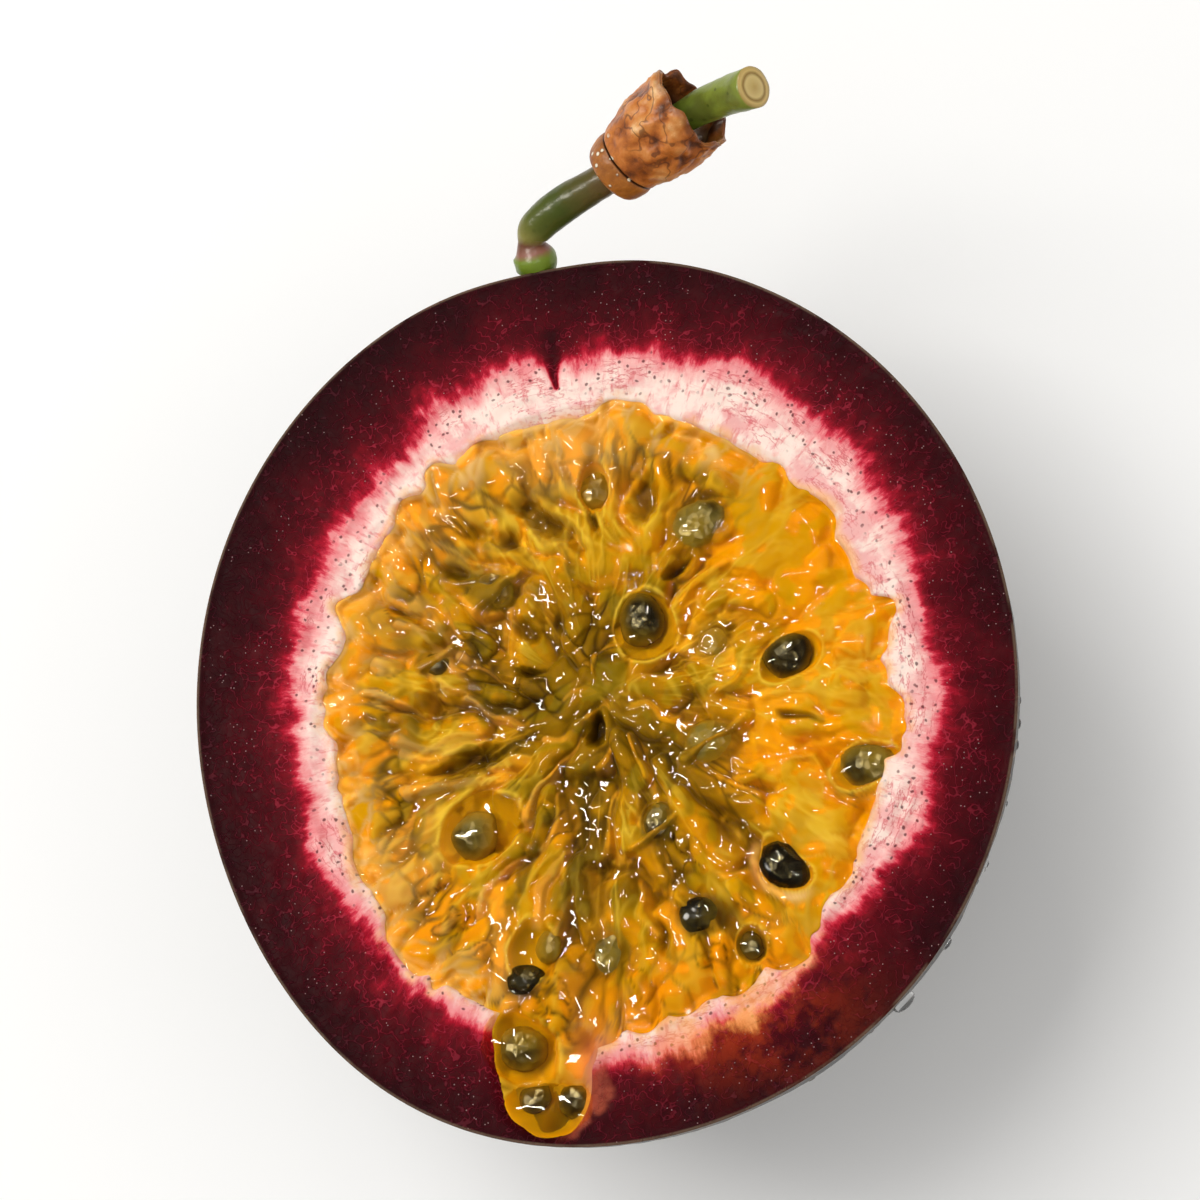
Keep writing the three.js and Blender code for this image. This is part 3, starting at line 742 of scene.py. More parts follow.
def placePulpSacs(look):
    # rows of outer end, inner end, half-widths at both, heights of both, tone, paleness
    borderSacs, fingers = placeBorderSacs(look)
    sacs = borderSacs + placeBuds(look) + placeFan()
    innerSacs, membranes = placeInnerSacs(look)
    spans = [(*strand[:4], strand[4] / 2, strand[4] * 0.3, -0.25, -0.75, 0.75, 0.45) for strand in strands]
    return np.array(sacs + innerSacs + fingers + membranes + spans + spillSacs)


def warped(x, y, look):
    points = np.stack([x, y, 0 * x], axis=-1)
    return (x + look["warp"] * layeredNoise(points, look["warpGrain"], 71, 2),
            y + look["warp"] * layeredNoise(points, look["warpGrain"], 81, 2))


def alongSac(x, y, sac):
    # share of the way from outer to inner end, and distance off the axis
    wayX, wayY = sac[2] - sac[0], sac[3] - sac[1]
    share = np.clip(((x - sac[0]) * wayX + (y - sac[1]) * wayY) / (wayX ** 2 + wayY ** 2), 0, 1)
    return share, np.hypot(x - sac[0] - share * wayX, y - sac[1] - share * wayY)


def unionOfSacs(x, y, sacs, look):
    # height of the soft union over the cut face, its tone and paleness, and the drop to the next sac
    best = np.full(len(x), -9.0)
    second = best.copy()
    weight, tone, paleAndHighlight = np.zeros((3, len(x)))
    for sac in sacs:
        share, off = alongSac(x, y, sac)
        halfWidth = sac[4] + (sac[5] - sac[4]) * share
        inside = np.clip(off / halfWidth, 0, 1)
        height = sac[6] + (sac[7] - sac[6]) * share
        height = height - halfWidth * look["roundness"] * (1 - np.sqrt(1 - inside ** 2 * 0.995))
        height = height - np.maximum(off - halfWidth, 0) * 2.5
        second = np.maximum(second, np.minimum(best, height))
        best = np.maximum(best, height)
        pull = np.exp(look["seamSharpness"] * height)
        weight += pull
        tone += pull * sac[8]
        paleAndHighlight += pull * sac[9] * (1 - 0.6 * share)
    return np.log(weight) / look["seamSharpness"], tone / weight, paleAndHighlight / weight, best - second


def outlineOfPulp(look, sacs):
    # the pulp's edge by angle: round sac ends, with gaps that the pith reaches into
    angle = around(1440)
    reach = pulpRadius(angle) - look["wedge"]
    for inward in np.arange(-0.8, look["wedge"], 0.05)[::-1]:
        radius = pulpRadius(angle) - inward
        x, y = warped(radius * np.cos(angle), radius * np.sin(angle), look)
        covered = np.zeros(len(angle), dtype=bool)
        for sac in sacs[:look["borderSacs"]]:
            share, off = alongSac(x, y, sac)
            covered |= off < sac[4] + (sac[5] - sac[4]) * share
        reach = np.where(covered, np.maximum(reach, radius), reach)
    rounding = np.hanning(look["outlineRounding"])
    padded = np.concatenate([reach[-len(rounding):], reach, reach[:len(rounding)]])
    smoothed = np.convolve(padded, rounding / rounding.sum(), "same")[len(rounding):-len(rounding)]
    return angle, smoothed


def outlineOfSpill(angle, edge):
    # the same edge carried out through the notch, a little way under its sides
    reach = edge.copy()
    for radius in np.arange(20.0, 30.0, 0.05):
        inside = notchShare(radius * np.cos(angle), radius * np.sin(angle), spill["tuck"]) < 1
        reach = np.where(inside & (radius < skinRadius(angle) - 0.5), np.maximum(reach, radius), reach)
    return reach


def broadened(outline, window):
    # the outline averaged over a stretch of the fruit, so that it rises gently beside the spill
    weights = np.hanning(window)
    padded = np.concatenate([outline[-window:], outline, outline[:window]])
    return np.convolve(padded, weights / weights.sum(), "same")[window:-window]


def edgeAt(angle, outline):
    return np.interp(angle % fullTurn, pulpOutline[0], outline, period=fullTurn)


def ellipseShare(x, y, middleX, middleY, turn, length, width):
    # 1 on the ellipse, less inside
    cos, sin = math.cos(math.radians(turn)), math.sin(math.radians(turn))
    along = (x - middleX) * cos + (y - middleY) * sin
    across = (y - middleY) * cos - (x - middleX) * sin
    return np.hypot(along / (length / 2), across / (width / 2))


def sacLevel(x, y):
    # a clear sac lies a little lower towards the middle and in the notch
    share = min(1.0, math.hypot(x, y) / float(pulpRadius(math.atan2(y, x))))
    return -1.1 + 0.55 * share - 0.35 * float(smoothStep(notchShare(x, y, 0), 1.0, 0.5))


def pulpPlaces(x, y, look):
    # places over the cut face, as they are and warped, with the noise that several steps share
    wx, wy = warped(x, y, look)
    angle = np.arctan2(y, x)
    radius = np.hypot(x, y)
    flat = np.stack([x, y, 0 * x], axis=-1)
    rays = np.stack([13 * np.cos(angle), 13 * np.sin(angle), radius * 0.3], axis=-1)
    return {"x": x, "y": y, "wx": wx, "wy": wy, "angle": angle, "radius": radius, "flat": flat,
            "share": radius / pulpRadius(angle), "streak": layeredNoise(rays, 1.3, 91, 3),
            "wrinkle": layeredNoise(flat, look["wrinkleGrain"], 101, 3), "patch": softNoise(flat, 4.0, 111)}


def washTone(at, tone):
    # tone by place, and how calm the pulp lies there
    calm = np.zeros(len(tone))
    tone = tone * 0.6 + 0.42 * smoothStep(at["share"], 0.2, 0.95) + 0.1 * at["patch"]
    for washX, washY, size, change, smoothness in washes:
        near = np.exp(-((at["x"] - washX) ** 2 + (at["y"] - washY) ** 2) / size ** 2)
        tone = tone + change * near
        calm = np.maximum(calm, smoothness * near)
    return tone + 0.8 * calm * (0.8 - tone), calm


def beadsOfPulp(at, look):
    # small beads: in rings round the fruit outside, scattered in the middle, where rings would crowd
    sway, push = (softNoise(at["flat"], look["beadSway"], seed) for seed in (151, 152))
    across = (at["angle"] / fullTurn + 0.5) * look["beads"] + 0.35 * sway
    ringed = cells(across, at["radius"] * 0.3 + 0.3 * push, look["beads"], 153)
    loose = cells(at["wx"] * 0.5 + 40, at["wy"] * 0.5, look["beads"], 154)
    outer = smoothStep(at["radius"], 6.0, 10.0)
    ringedBead, looseBead = (np.sqrt(np.clip(1 - (found[0] / 0.85) ** 2, 0, 1)) for found in (ringed, loose))
    near, second, own = np.where(outer > 0.5, ringed, loose)
    return looseBead + (ringedBead - looseBead) * outer, smoothStep(second - near, 0.24, 0.0), own


def sinkGaps(at, height):
    # the pulp with its gaps, how deep they are, and the shade painted in them
    pit, dark = np.zeros((2, len(height)))
    for gapX, gapY, turn, length, width, depth in gaps:
        inside = ellipseShare(at["wx"], at["wy"], gapX, gapY, turn, length, width) + 0.25 * at["wrinkle"]
        fall = depth * smoothStep(inside, 1.2, 0.3)
        height = height - fall
        pit = np.maximum(pit, fall)
        # the gaps painted dark as shade
        dark = np.maximum(dark, 0.85 * smoothStep(inside, 1.25, 0.2))
    return height, pit, dark


def sinkSeeds(at, height):
    # the pulp closed over the sunk seeds, both together as the juice finds them, and their dark haze
    shade = np.zeros(len(height))
    for dimX, dimY, size, dark in dimSeeds:
        off = np.hypot(at["x"] - dimX, at["y"] - dimY) + 0.35 * at["wrinkle"]
        shade = np.maximum(shade, dark * smoothStep(off, size, size * 0.35))
    body = height + 0.0
    for seedX, seedY, turn, length, depth, seedTone in sunkSeeds:
        inside = ellipseShare(at["x"], at["y"], seedX, seedY, turn, length, length * seedLook["width"])
        inside = inside + 0.12 * at["wrinkle"]
        shade = np.maximum(shade, (0.85 - 0.35 * seedTone) * smoothStep(inside, 1.45, 0.8))
        cover = 0.3 + 0.35 * seedTone     # the paler ones show through more pulp
        height = height + (cover - depth - height) * smoothStep(inside, 1.3, 0.8)
        top = 0.5 * length * seedLook["thickness"] - depth
        dome = top + 0.1 - 1.5 * np.maximum(inside - 0.3, 0) ** 2
        body = np.where(inside < 1.4, np.maximum(body, dome), body)
    return height, body, shade


def juiceOver(at, body, pit, look):
    # juice fills the hollows up to its level and coats what stands out of it
    level = look["juiceLevel"] + look["juiceWave"] * layeredNoise(at["flat"], 2.4, 141, 2)
    level = level - 0.45 * smoothStep(at["share"], 0.7, 1.0) - 0.8 * pit
    level = np.where(at["share"] > 1, level - 0.5 * smoothStep(at["share"], 1.0, 1.1), level)
    soft = look["filmSoftness"]
    film = soft * np.logaddexp(level / soft, (body + look["film"]) / soft)
    return film + look["ripple"] * softNoise(at["flat"], look["rippleGrain"], 161)


def pulpField(x, y, look):
    # heights of the pulp and of the juice on it over the cut face, and what colours the pulp
    at = pulpPlaces(x, y, look)
    share, radius, wrinkle = at["share"], at["radius"], at["wrinkle"]
    streak, patch = at["streak"], at["patch"]
    height, tone, creamAndHighlight, seam = unionOfSacs(at["wx"], at["wy"], pulpSacs, look)
    inNotch = smoothStep(notchShare(x, y, spill["room"]), 1.05, 0.9)
    leftSide = x - 0.4 * y     # the pith's cream shows on this side
    fromEdge = edgeAt(at["angle"], pulpOutline[1]) - radius

    # the sacs, beaded and wrinkled, lower at the edge and in the gaps
    tone, calm = washTone(at, tone)
    bead, valley, own = beadsOfPulp(at, look)
    tone = tone + 0.2 * (own - 0.5) * (1 - calm)
    height = height + look["bead"] * (bead - 0.75) * (1 - 0.8 * calm)
    height = np.maximum(height, look["floor"] + 0.35 * wrinkle)
    height = height + calm * 0.45 * (-0.35 - height)
    height = height + 0.75 * smoothStep(fromEdge, 0.7, 0.0) * (1 - inNotch) * (look["edgeHeight"] - height)
    # painted shade where the pulp lies low
    recessShade = 0.6 * smoothStep(height, look["floor"] + 0.6, look["floor"] - 0.1)
    height, pit, dark = sinkGaps(at, height)
    height, body, shade = sinkSeeds(at, height)
    film = juiceOver(at, body, pit, look)

    # pale ridges and seams, partly painted highlights, with painted shade in the seams; cream roots at the
    # edge; painted shade of olive spokes below
    spokes = softNoise(np.stack([10 * np.cos(at["angle"]), 10 * np.sin(at["angle"]), radius * 0.1], axis=-1),
                       1.3, 171) + 0.35 * wrinkle
    ridge = np.exp(-(streak / look["ridgeWidth"]) ** 2) * smoothStep(share, 0.15, 0.4)
    ridge = ridge * smoothStep(share, 1.0, 0.8) * (1 - calm)
    edges = np.maximum(np.exp(-(seam / look["seamWidth"]) ** 2), 0.7 * valley) * (1 - calm)
    atBorder = smoothStep(share, 0.62, 0.78) * smoothStep(x, 16.0, 6.0)
    member = edges * smoothStep(patch, -0.05, 0.45) * (1 - 0.8 * atBorder)
    roots = smoothStep(fromEdge, 3.2, 0.9) * (1 - inNotch) * smoothStep(leftSide, 9.0, 3.0)
    seamShare = np.maximum(smoothStep(patch, 0.0, -0.5), atBorder) * (1 - 0.7 * roots)
    # painted shade in the seams between sacs and in the gaps
    recessShade = np.maximum(np.maximum(recessShade, dark), 0.85 * edges * seamShare)
    # cream painted as highlight on the sac tips towards the left and on the top lobes; the cream of the pith
    # at the roots and along the edge is its own colour
    creamAndHighlight = creamAndHighlight * (0.05 + 0.5 * smoothStep(x, 2.0, -12.0))
    creamAndHighlight = np.clip(creamAndHighlight + 0.4 * np.exp(-((x + 0.4) / 4.0) ** 2 - ((y - 17.0) / 2.4) ** 2), 0, 0.8)
    creamEdge = 0.7 * smoothStep(fromEdge, 0.5, 0.1) * smoothStep(leftSide, 9.0, 3.0) * (1 - inNotch)
    creamAndHighlight = np.maximum(creamAndHighlight, np.maximum(0.7 * edges * roots, creamEdge))
    middle = (smoothStep(share, 0.1, 0.3) * smoothStep(share, 0.9, 0.6)
              * (0.4 + 0.6 * smoothStep(x, 8.0, -2.0)))
    # painted shade of olive spokes between the sacs, stronger towards the left
    shade = np.maximum(shade, 0.65 * smoothStep(spokes, 0.15, 0.65) * middle * (1 - calm))
    tone = tone - 0.12 * spokes * smoothStep(share, 0.1, 0.3)
    closed = np.maximum(shade, recessShade)
    height = height + (look["streak"] * ridge + 0.22 * member) * (1 - closed) + look["wrinkle"] * wrinkle
    # pale ridges and membranes, partly painted highlights along them
    paleAndHighlight = np.clip(0.45 * ridge * smoothStep(patch, -0.6, 0.5) + 0.45 * member, 0, 0.75) * (1 - closed)

    # bowls and domes of the clear sacs, each in a pale ring
    for sacX, sacY, turn, length, width in clearSacs:
        inside = ellipseShare(0.5 * (x + at["wx"]), 0.5 * (y + at["wy"]), sacX, sacY, turn, length, width)
        level = sacLevel(sacX, sacY)
        hollow = np.clip(1 - inside ** 2, 0, 1)
        height = np.where(inside < 1, np.minimum(height, level + 0.1 - look["bowl"] * hollow), height)
        film = np.where(inside < 1, level + look["dome"] * width * hollow ** 0.6, film)
        ring = np.exp(-((inside - 1.05) / 0.06) ** 2) * smoothStep(streak + wrinkle, -0.9, -0.1)
        height = height + 0.12 * ring
        outside = smoothStep(inside, 0.9, 1.1)
        paleAndHighlight = np.maximum(paleAndHighlight * outside, 0.7 * ring)
        tone = tone + (0.3 - tone) * smoothStep(inside, 1.0, 0.6)
        recessShade = recessShade * outside
        shade = shade * outside

    # membranes over seeds, the floor of the notch, and the colours beside the spill
    over = unionOfSacs(at["wx"], at["wy"], overSeeds, look)[0]
    film = np.where(over > height, np.maximum(film, over + look["film"]), film)
    paleAndHighlight = np.where(over > height, 0.15, paleAndHighlight)
    height = np.maximum(height, over)
    lowest = np.minimum(notchFloor(x, y) - fruit["cutHeight"] + 0.2, -0.5)
    height = np.where(inNotch > 0, np.maximum(height, lowest), height)
    blush = np.exp(-((x + 3.0) / 1.4) ** 2 - ((y + 24.8) / 2.6) ** 2)
    (haloX, haloY), (wayX, wayY) = halo["sac"][:2], halo["way"]
    haloShare = ellipseShare(x, y, *halo["sac"]) + 0.08 * wrinkle
    haloSide = smoothStep((x - haloX) * wayX + (y - haloY) * wayY, -0.6, 1.2)
    creamAndHighlight = np.maximum(creamAndHighlight, 0.85 * np.exp(-((haloShare - 1.12) / 0.16) ** 2) * haloSide)
    # a pale line painted as a highlight along the lip of the notch
    lip = np.exp(-((notchShare(x, y, 0.3) - 0.93) / 0.06) ** 2) * smoothStep(y, -25.0, -26.5)
    return {"height": height, "film": film, "tone": tone, "paleAndHighlight": np.maximum(paleAndHighlight, 0.7 * lip), "recessShade": recessShade,
            "shade": shade, "creamAndHighlight": creamAndHighlight, "blush": blush}


def pulpGrid(sides, rows):
    # rings of places from the edge inwards; only the outer ones follow the spill through the notch
    angle = around(sides)
    inner, outer, broad = (edgeAt(angle, outline) for outline in pulpOutline[1:])
    reach = []
    for share in 1 - np.arange(rows) / rows:
        tip = broad + (outer - broad) * share ** 6
        pull = max(0.0, (share - 0.5) / 0.5) ** 1.5
        radius = inner * share + (tip - inner) * pull + 0.12 * share
        reach.append(np.minimum(radius, reach[-1] - 0.03) if reach else radius)
    return angle, inner, np.concatenate([ringPoints(angle, radius, 0) for radius in reach])


seedLook = {"segments": 36, "rings": 24, "taper": 0.16, "unevenness": 0.3, "lumpSize": 1.3,
            "width": 0.8, "thickness": 0.54}
pulpSacs = placePulpSacs(pulpLook)
pulpOutline = outlineOfPulp(pulpLook, pulpSacs)
pulpOutline += (broadened(outlineOfSpill(*pulpOutline), 7),)
pulpOutline += (pulpOutline[1] + broadened(pulpOutline[2] - pulpOutline[1], 111),)


def makePulp(look, material):
    angle, edge, top = pulpGrid(look["sides"], look["topRows"])
    wall = fruit["halfDepth"] - wallAt(angle, shellWall) - wallAt(angle, pithWall)
    rows = []
    for step in range(look["underRows"]):
        dip = look["underDip"] * (1 - step / (look["underRows"] - 1))
        height = fruit["cutHeight"] - look["rimDepth"] - (wall - look["rimDepth"]) * math.sin(dip)
        rows.append(ringPoints(angle, edge * math.cos(dip), height))
    field = pulpField(top[:, 0], top[:, 1], look)
    top[:, 2] = fruit["cutHeight"] + field["height"]
    rows += list(top.reshape(look["topRows"], look["sides"], 3))
    mesh, points = ringMesh("pulpBed", np.array(rows))
    hidden = np.zeros((look["underRows"], look["sides"]))
    for key in ("tone", "paleAndHighlight", "recessShade", "shade", "creamAndHighlight", "blush"):
        values = np.vstack([hidden, field[key].reshape(look["topRows"], look["sides"])])
        addAttribute(mesh, key, withPoles(values))
    mesh.materials.append(material)
    return linkObject("pulpBed", mesh)


print("pulp")
pulpBed = makePulp(pulpLook, makePulpMaterial())
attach(pulpBed, "root")
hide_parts("pulp")

# Juice: clear and golden, it fills the hollows and coats the sacs.
juiceLook = {"sides": 600, "rows": 130, "depth": 4.6}


def makeJuice(look):
    angle, edge, top = pulpGrid(look["sides"], look["rows"])
    film = pulpField(top[:, 0], top[:, 1], pulpLook)["film"]
    top[:, 2] = fruit["cutHeight"] + film
    under = ringPoints(angle, edge - 0.3, fruit["cutHeight"] - look["depth"])
    rows = np.concatenate([under[None], top.reshape(look["rows"], look["sides"], 3)])
    mesh, points = ringMesh("goldenJuice", rows)
    mesh.materials.append(clearMaterial("goldenJuice", "#fbecb8", 0.04, 1.35, 0.4))
    return linkObject("goldenJuice", mesh)


print("juice")
goldenJuice = makeJuice(juiceLook)
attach(goldenJuice, "root")

# The pith: a spongy ring that reaches in between the sacs.
pithLook = {
    "sides": 1080, "topRows": 26, "wallRows": 6,
    "roll": 0.4, "rollDepth": 0.2,       # how far the inner edge rolls over
    "tuck": 0.15,                        # how far the outer edge runs on under the flesh
    "underside": [(0.3, 6.0), (0.85, 15.0)],     # share of the radius and height, hidden below
    "innerDip": math.radians(80),
}


def makePith(look):
    angle = around(look["sides"])
    outer = fleshInnerRadius(angle)
    inner = edgeAt(angle, pulpOutline[1])
    tucked = outer + look["tuck"]
    top = np.minimum(cutFace(angle, outer), notchFloor(outer * np.cos(angle), outer * np.sin(angle)))
    rows = [ringPoints(angle, outer * share, height) for share, height in look["underside"]]
    rows += [ringPoints(angle, tucked, top - 1.2), ringPoints(angle, tucked, top - 0.12)]
    depth = [0 * angle] * len(rows)
    corner = len(rows) - 1
    for step in range(look["topRows"]):
        radius = outer + (inner - outer) * (step / (look["topRows"] - 1)) ** 0.85
        points = ringPoints(angle, radius, cutFace(angle, radius))
        near = np.clip(1 - (radius - inner) / look["roll"], 0, 1)
        points[:, 2] += wallRelief(points, outer - radius) - look["rollDepth"] * near ** 2.5
        points[:, 2] = np.minimum(points[:, 2], notchFloor(points[:, 0], points[:, 1]))
        rows.append(points)
        depth.append(outer - radius)
    top = rows[-1][:, 2]
    wall = fruit["halfDepth"] - wallAt(angle, shellWall) - wallAt(angle, pithWall)
    for step in range(1, look["wallRows"]):
        dip = look["innerDip"] * step / (look["wallRows"] - 1)
        rows.append(ringPoints(angle, inner * math.cos(dip), top - (wall - 1) * math.sin(dip)))
        depth.append(outer - inner)
    mesh, points = ringMesh("pithLining", np.array(rows), (corner,))
    depth = withPoles(depth)
    addWallPattern(mesh, points, depth, depth + 5)
    edge = edgeAt(np.arctan2(points[:, 1], points[:, 0]), pulpOutline[1])
    fromPulp = np.hypot(points[:, 0], points[:, 1]) - edge
    addAttribute(mesh, "byPulp", smoothStep(fromPulp, 0.9, 0.1))
    mesh.materials.append(makeWallMaterial("spongyPith"))
    return linkObject("pithLining", mesh)


print("pith")
pithLining = makePith(pithLook)
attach(pithLining, "root")
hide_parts("pith")


def pointCloud(name, places, edges=(), **attributes):
    mesh = bpy.data.meshes.new(name)
    mesh.from_pydata((np.asarray(places) * mm).tolist(), list(edges), [])
    for key, values in attributes.items():
        addAttribute(mesh, key, values)
    return linkObject(name, mesh)


def newGeometryTree(name, inputs):
    tree = bpy.data.node_groups.new(name, "GeometryNodeTree")
    tree.interface.new_socket("Geometry", in_out="INPUT", socket_type="NodeSocketGeometry")
    for label, kind in inputs.items():
        tree.interface.new_socket(label, in_out="INPUT", socket_type="NodeSocket" + kind)
    tree.interface.new_socket("Geometry", in_out="OUTPUT", socket_type="NodeSocketGeometry")
    return tree, tree.nodes.new("NodeGroupInput").outputs


def pushLumps(tree, geometry, given):
    # moves every point of a body a little, so that it swells and dips
    fineness = addNode(tree, "ShaderNodeMath", (1.0, given["Lump Size"]), operation="DIVIDE")
    lumps = addNode(tree, "ShaderNodeTexNoise", {"Scale": fineness, "Detail": 2}, "Color")
    off = addNode(tree, "ShaderNodeVectorMath", (lumps, (0.5, 0.5, 0.5)), operation="SUBTRACT")
    push = addNode(tree, "ShaderNodeVectorMath", {0: off, "Scale": given["Unevenness"]}, operation="SCALE")
    return addNode(tree, "GeometryNodeSetPosition", {"Geometry": geometry, "Offset": push})


def finishTree(tree, geometry, given):
    smooth = addNode(tree, "GeometryNodeSetShadeSmooth", {"Geometry": geometry})
    painted = addNode(tree, "GeometryNodeSetMaterial", {"Geometry": smooth, "Material": given["Material"]})
    addNode(tree, "NodeGroupOutput", (painted,))
    return tree


def grow(source, tree, values, name):
    # runs the tree on source and keeps the result as one plain mesh
    modifier = source.modifiers.new("grow", "NODES")
    modifier.node_group = tree
    for item in tree.interface.items_tree:
        if item.item_type == "SOCKET" and item.in_out == "INPUT" and item.name in values:
            modifier[item.identifier] = values[item.name]
    graph = bpy.context.evaluated_depsgraph_get()
    mesh = bpy.data.meshes.new_from_object(source.evaluated_get(graph))
    mesh.name = name
    source.modifiers.remove(modifier)
    bpy.data.objects.remove(source)
    return linkObject(name, mesh)


def eggTree(name):
    # an uneven egg with a thin end on every point, sized and turned by the point's own numbers
    tree, given = newGeometryTree(name, {"Segments": "Int", "Rings": "Int", "Taper": "Float",
                                         "Unevenness": "Float", "Lump Size": "Float", "Material": "Material"})
    ball = addNode(tree, "GeometryNodeMeshUVSphere", {"Segments": given["Segments"], "Rings": given["Rings"],
                                                      "Radius": 1.0})
    lying = addNode(tree, "GeometryNodeTransform", {"Geometry": ball, "Rotation": (0, math.pi / 2, 0)})
    here = addNode(tree, "GeometryNodeInputPosition")
    x, y, z = addNode(tree, "ShaderNodeSeparateXYZ", (here,)).node.outputs
    thinning = addNode(tree, "ShaderNodeMath", (x, given["Taper"]), operation="MULTIPLY")
    slim = addNode(tree, "ShaderNodeMath", (1.0, thinning), operation="SUBTRACT")
    slimY, slimZ = (addNode(tree, "ShaderNodeMath", (way, slim), operation="MULTIPLY") for way in (y, z))
    egg = addNode(tree, "ShaderNodeCombineXYZ", (x, slimY, slimZ))
    shaped = addNode(tree, "GeometryNodeSetPosition", {"Geometry": lying, "Position": egg})
    turn, size = (addNode(tree, "GeometryNodeInputNamedAttribute", {"Name": label}, data_type="FLOAT_VECTOR")
                  for label in ("turn", "size"))
    placed = addNode(tree, "GeometryNodeInstanceOnPoints", {
        "Points": given["Geometry"], "Instance": shaped, "Rotation": turn, "Scale": size})
    real = addNode(tree, "GeometryNodeRealizeInstances", {"Geometry": placed})
    return finishTree(tree, pushLumps(tree, real, given), given)


def makeSeeds(look):
    rows = np.array(sacSeeds + sunkSeeds)
    heading = np.radians(rows[:, 2]) + rng.uniform(-0.15, 0.15, len(rows))
    turns = np.column_stack([rng.uniform(-0.3, 0.3, len(rows)), rng.uniform(-0.15, 0.15, len(rows)), heading])
    places = np.column_stack([rows[:, :2], fruit["cutHeight"] - rows[:, 4]])
    sizes = rows[:, 3:4] * (1, look["width"], look["thickness"])
    source = pointCloud("seedPoints", places, turn=turns, size=sizes * mm / 2, tone=rows[:, 5])
    return grow(source, eggTree("seeds"), {
        "Segments": look["segments"], "Rings": look["rings"], "Taper": look["taper"],
        "Unevenness": look["unevenness"] * mm, "Lump Size": look["lumpSize"] * mm,
        "Material": makeSeedMaterial()}, "seeds")


print("seeds")
seeds = makeSeeds(seedLook)
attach(seeds, "root")


def smoothPath(stations, count):
    # evenly spaced points on a smooth path through the stations, every column smoothed alike
    stations = np.array(stations, dtype=float)
    ends = np.vstack([2 * stations[0] - stations[1], stations, 2 * stations[-1] - stations[-2]])
    place = np.linspace(0, len(stations) - 1 - 1e-9, count)
    i = place.astype(int)
    t = (place - i)[:, None]
    a, b, c, d = ends[i], ends[i + 1], ends[i + 2], ends[i + 3]
    return b + 0.5 * t * (c - a + t * (2 * a - 5 * b + 4 * c - d + t * (3 * (b - c) + d - a)))


def sweepTree(name):
    # a round body along every chain of edges, as thick as its points say, then made uneven
    tree, given = newGeometryTree(name, {"Sides": "Int", "Unevenness": "Float", "Lump Size": "Float",
                                         "Material": "Material"})
    path = addNode(tree, "GeometryNodeMeshToCurve", (given["Geometry"],))
    profile = addNode(tree, "GeometryNodeCurvePrimitiveCircle", {"Resolution": given["Sides"], "Radius": 1.0})
    thickness = addNode(tree, "GeometryNodeInputNamedAttribute", {"Name": "thickness"}, data_type="FLOAT")
    body = addNode(tree, "GeometryNodeCurveToMesh", {"Curve": path, "Profile Curve": profile,
                                                     "Scale": thickness, "Fill Caps": True})
    real = addNode(tree, "GeometryNodeRealizeInstances", {"Geometry": body})
    return finishTree(tree, pushLumps(tree, real, given), given)


# The stalk: a button on the rim, a pinched joint, a swollen stretch, then the cut pedicel.
stalkLook = {"sides": 40, "unevenness": 0.22, "lumpSize": 1.6, "points": 150, "capRows": 7,
             "capHeight": 0.12}
stalkStations = [   # x, y, rise over the cut face, radius, in mm
    (-0.98, 30.35, -1.4, 1.4), (-0.85, 31.0, -0.8, 1.5), (-0.85, 31.9, -0.1, 0.95), (-0.3, 32.6, 0.5, 1.2),
    (2.0, 33.6, 1.5, 1.3), (5.6, 34.4, 3.0, 1.1), (8.0, 35.3, 4.15, 1.05), (10.2, 36.2, 5.3, 1.05),
    (13.5, 36.7, 6.9, 1.2), (16.7, 36.1, 9.6, 1.4),
]


def makeStalkMaterial():
    # green living stem with olive and corky patches; along runs 0 to 1, and on to 2 over the cut end
    material, tree = newMaterial("greenStem")
    place = addNode(tree, "ShaderNodeTexCoord", out="Object")
    along = addNode(tree, "ShaderNodeAttribute", out="Fac", attribute_name="along")
    cloud = pattern(tree, "Noise", place, 1.67, Detail=4)
    shaken = addNode(tree, "ShaderNodeMath", (along, centred(tree, cloud, 0.05)), operation="ADD")
    bark = addNode(tree, "ShaderNodeValToRGB", (shaken,), stops=(
        (0.0, "#687d1c"), (0.13, "#6f8222"), (0.165, "#8e5c4c"), (0.22, "#6b432c"), (0.27, "#8c8440"),
        (0.36, "#555c1e"), (0.45, "#454f17"), (0.56, "#69502a"), (0.8, "#4c6414"), (0.93, "#7e8a30")))
    blotches = mask(tree, (pattern(tree, "Noise", place, 3.03, Detail=4), 0.5, 0.68), (along, 0.2, 0.3))
    spots = mask(tree, (pattern(tree, "Voronoi", place, 0.909), 0.2, 0.1), (along, 0.3, 0.4))
    capShare = addNode(tree, "ShaderNodeMath", (along, 1.0), operation="SUBTRACT")
    rings = addNode(tree, "ShaderNodeMath", (capShare, centred(tree, cloud, 0.2)), operation="ADD")
    endFace = addNode(tree, "ShaderNodeValToRGB", (rings,), stops=(
        (0.0, "#a98c4a"), (0.2, "#cfb06c"), (0.35, "#8f7036"), (0.5, "#d2b877"), (1.0, "#bb9c5a")))
    colour = paintOver(tree, bark, (blotches, 0.6, "#4c4a1e"), (spots, 0.6, "#39400f"),
                       (mask(tree, (along, 0.995, 1.005)), 1.0, endFace))
    finishMaterial(tree, {"Base Color": colour, "Roughness": 0.33, "IOR": 1.45, "Subsurface Weight": 0.1,
                          "Subsurface Radius": (0.4, 0.8, 0.2), "Subsurface Scale": 0.6 * mm}, cloud, 0.7)
    return material


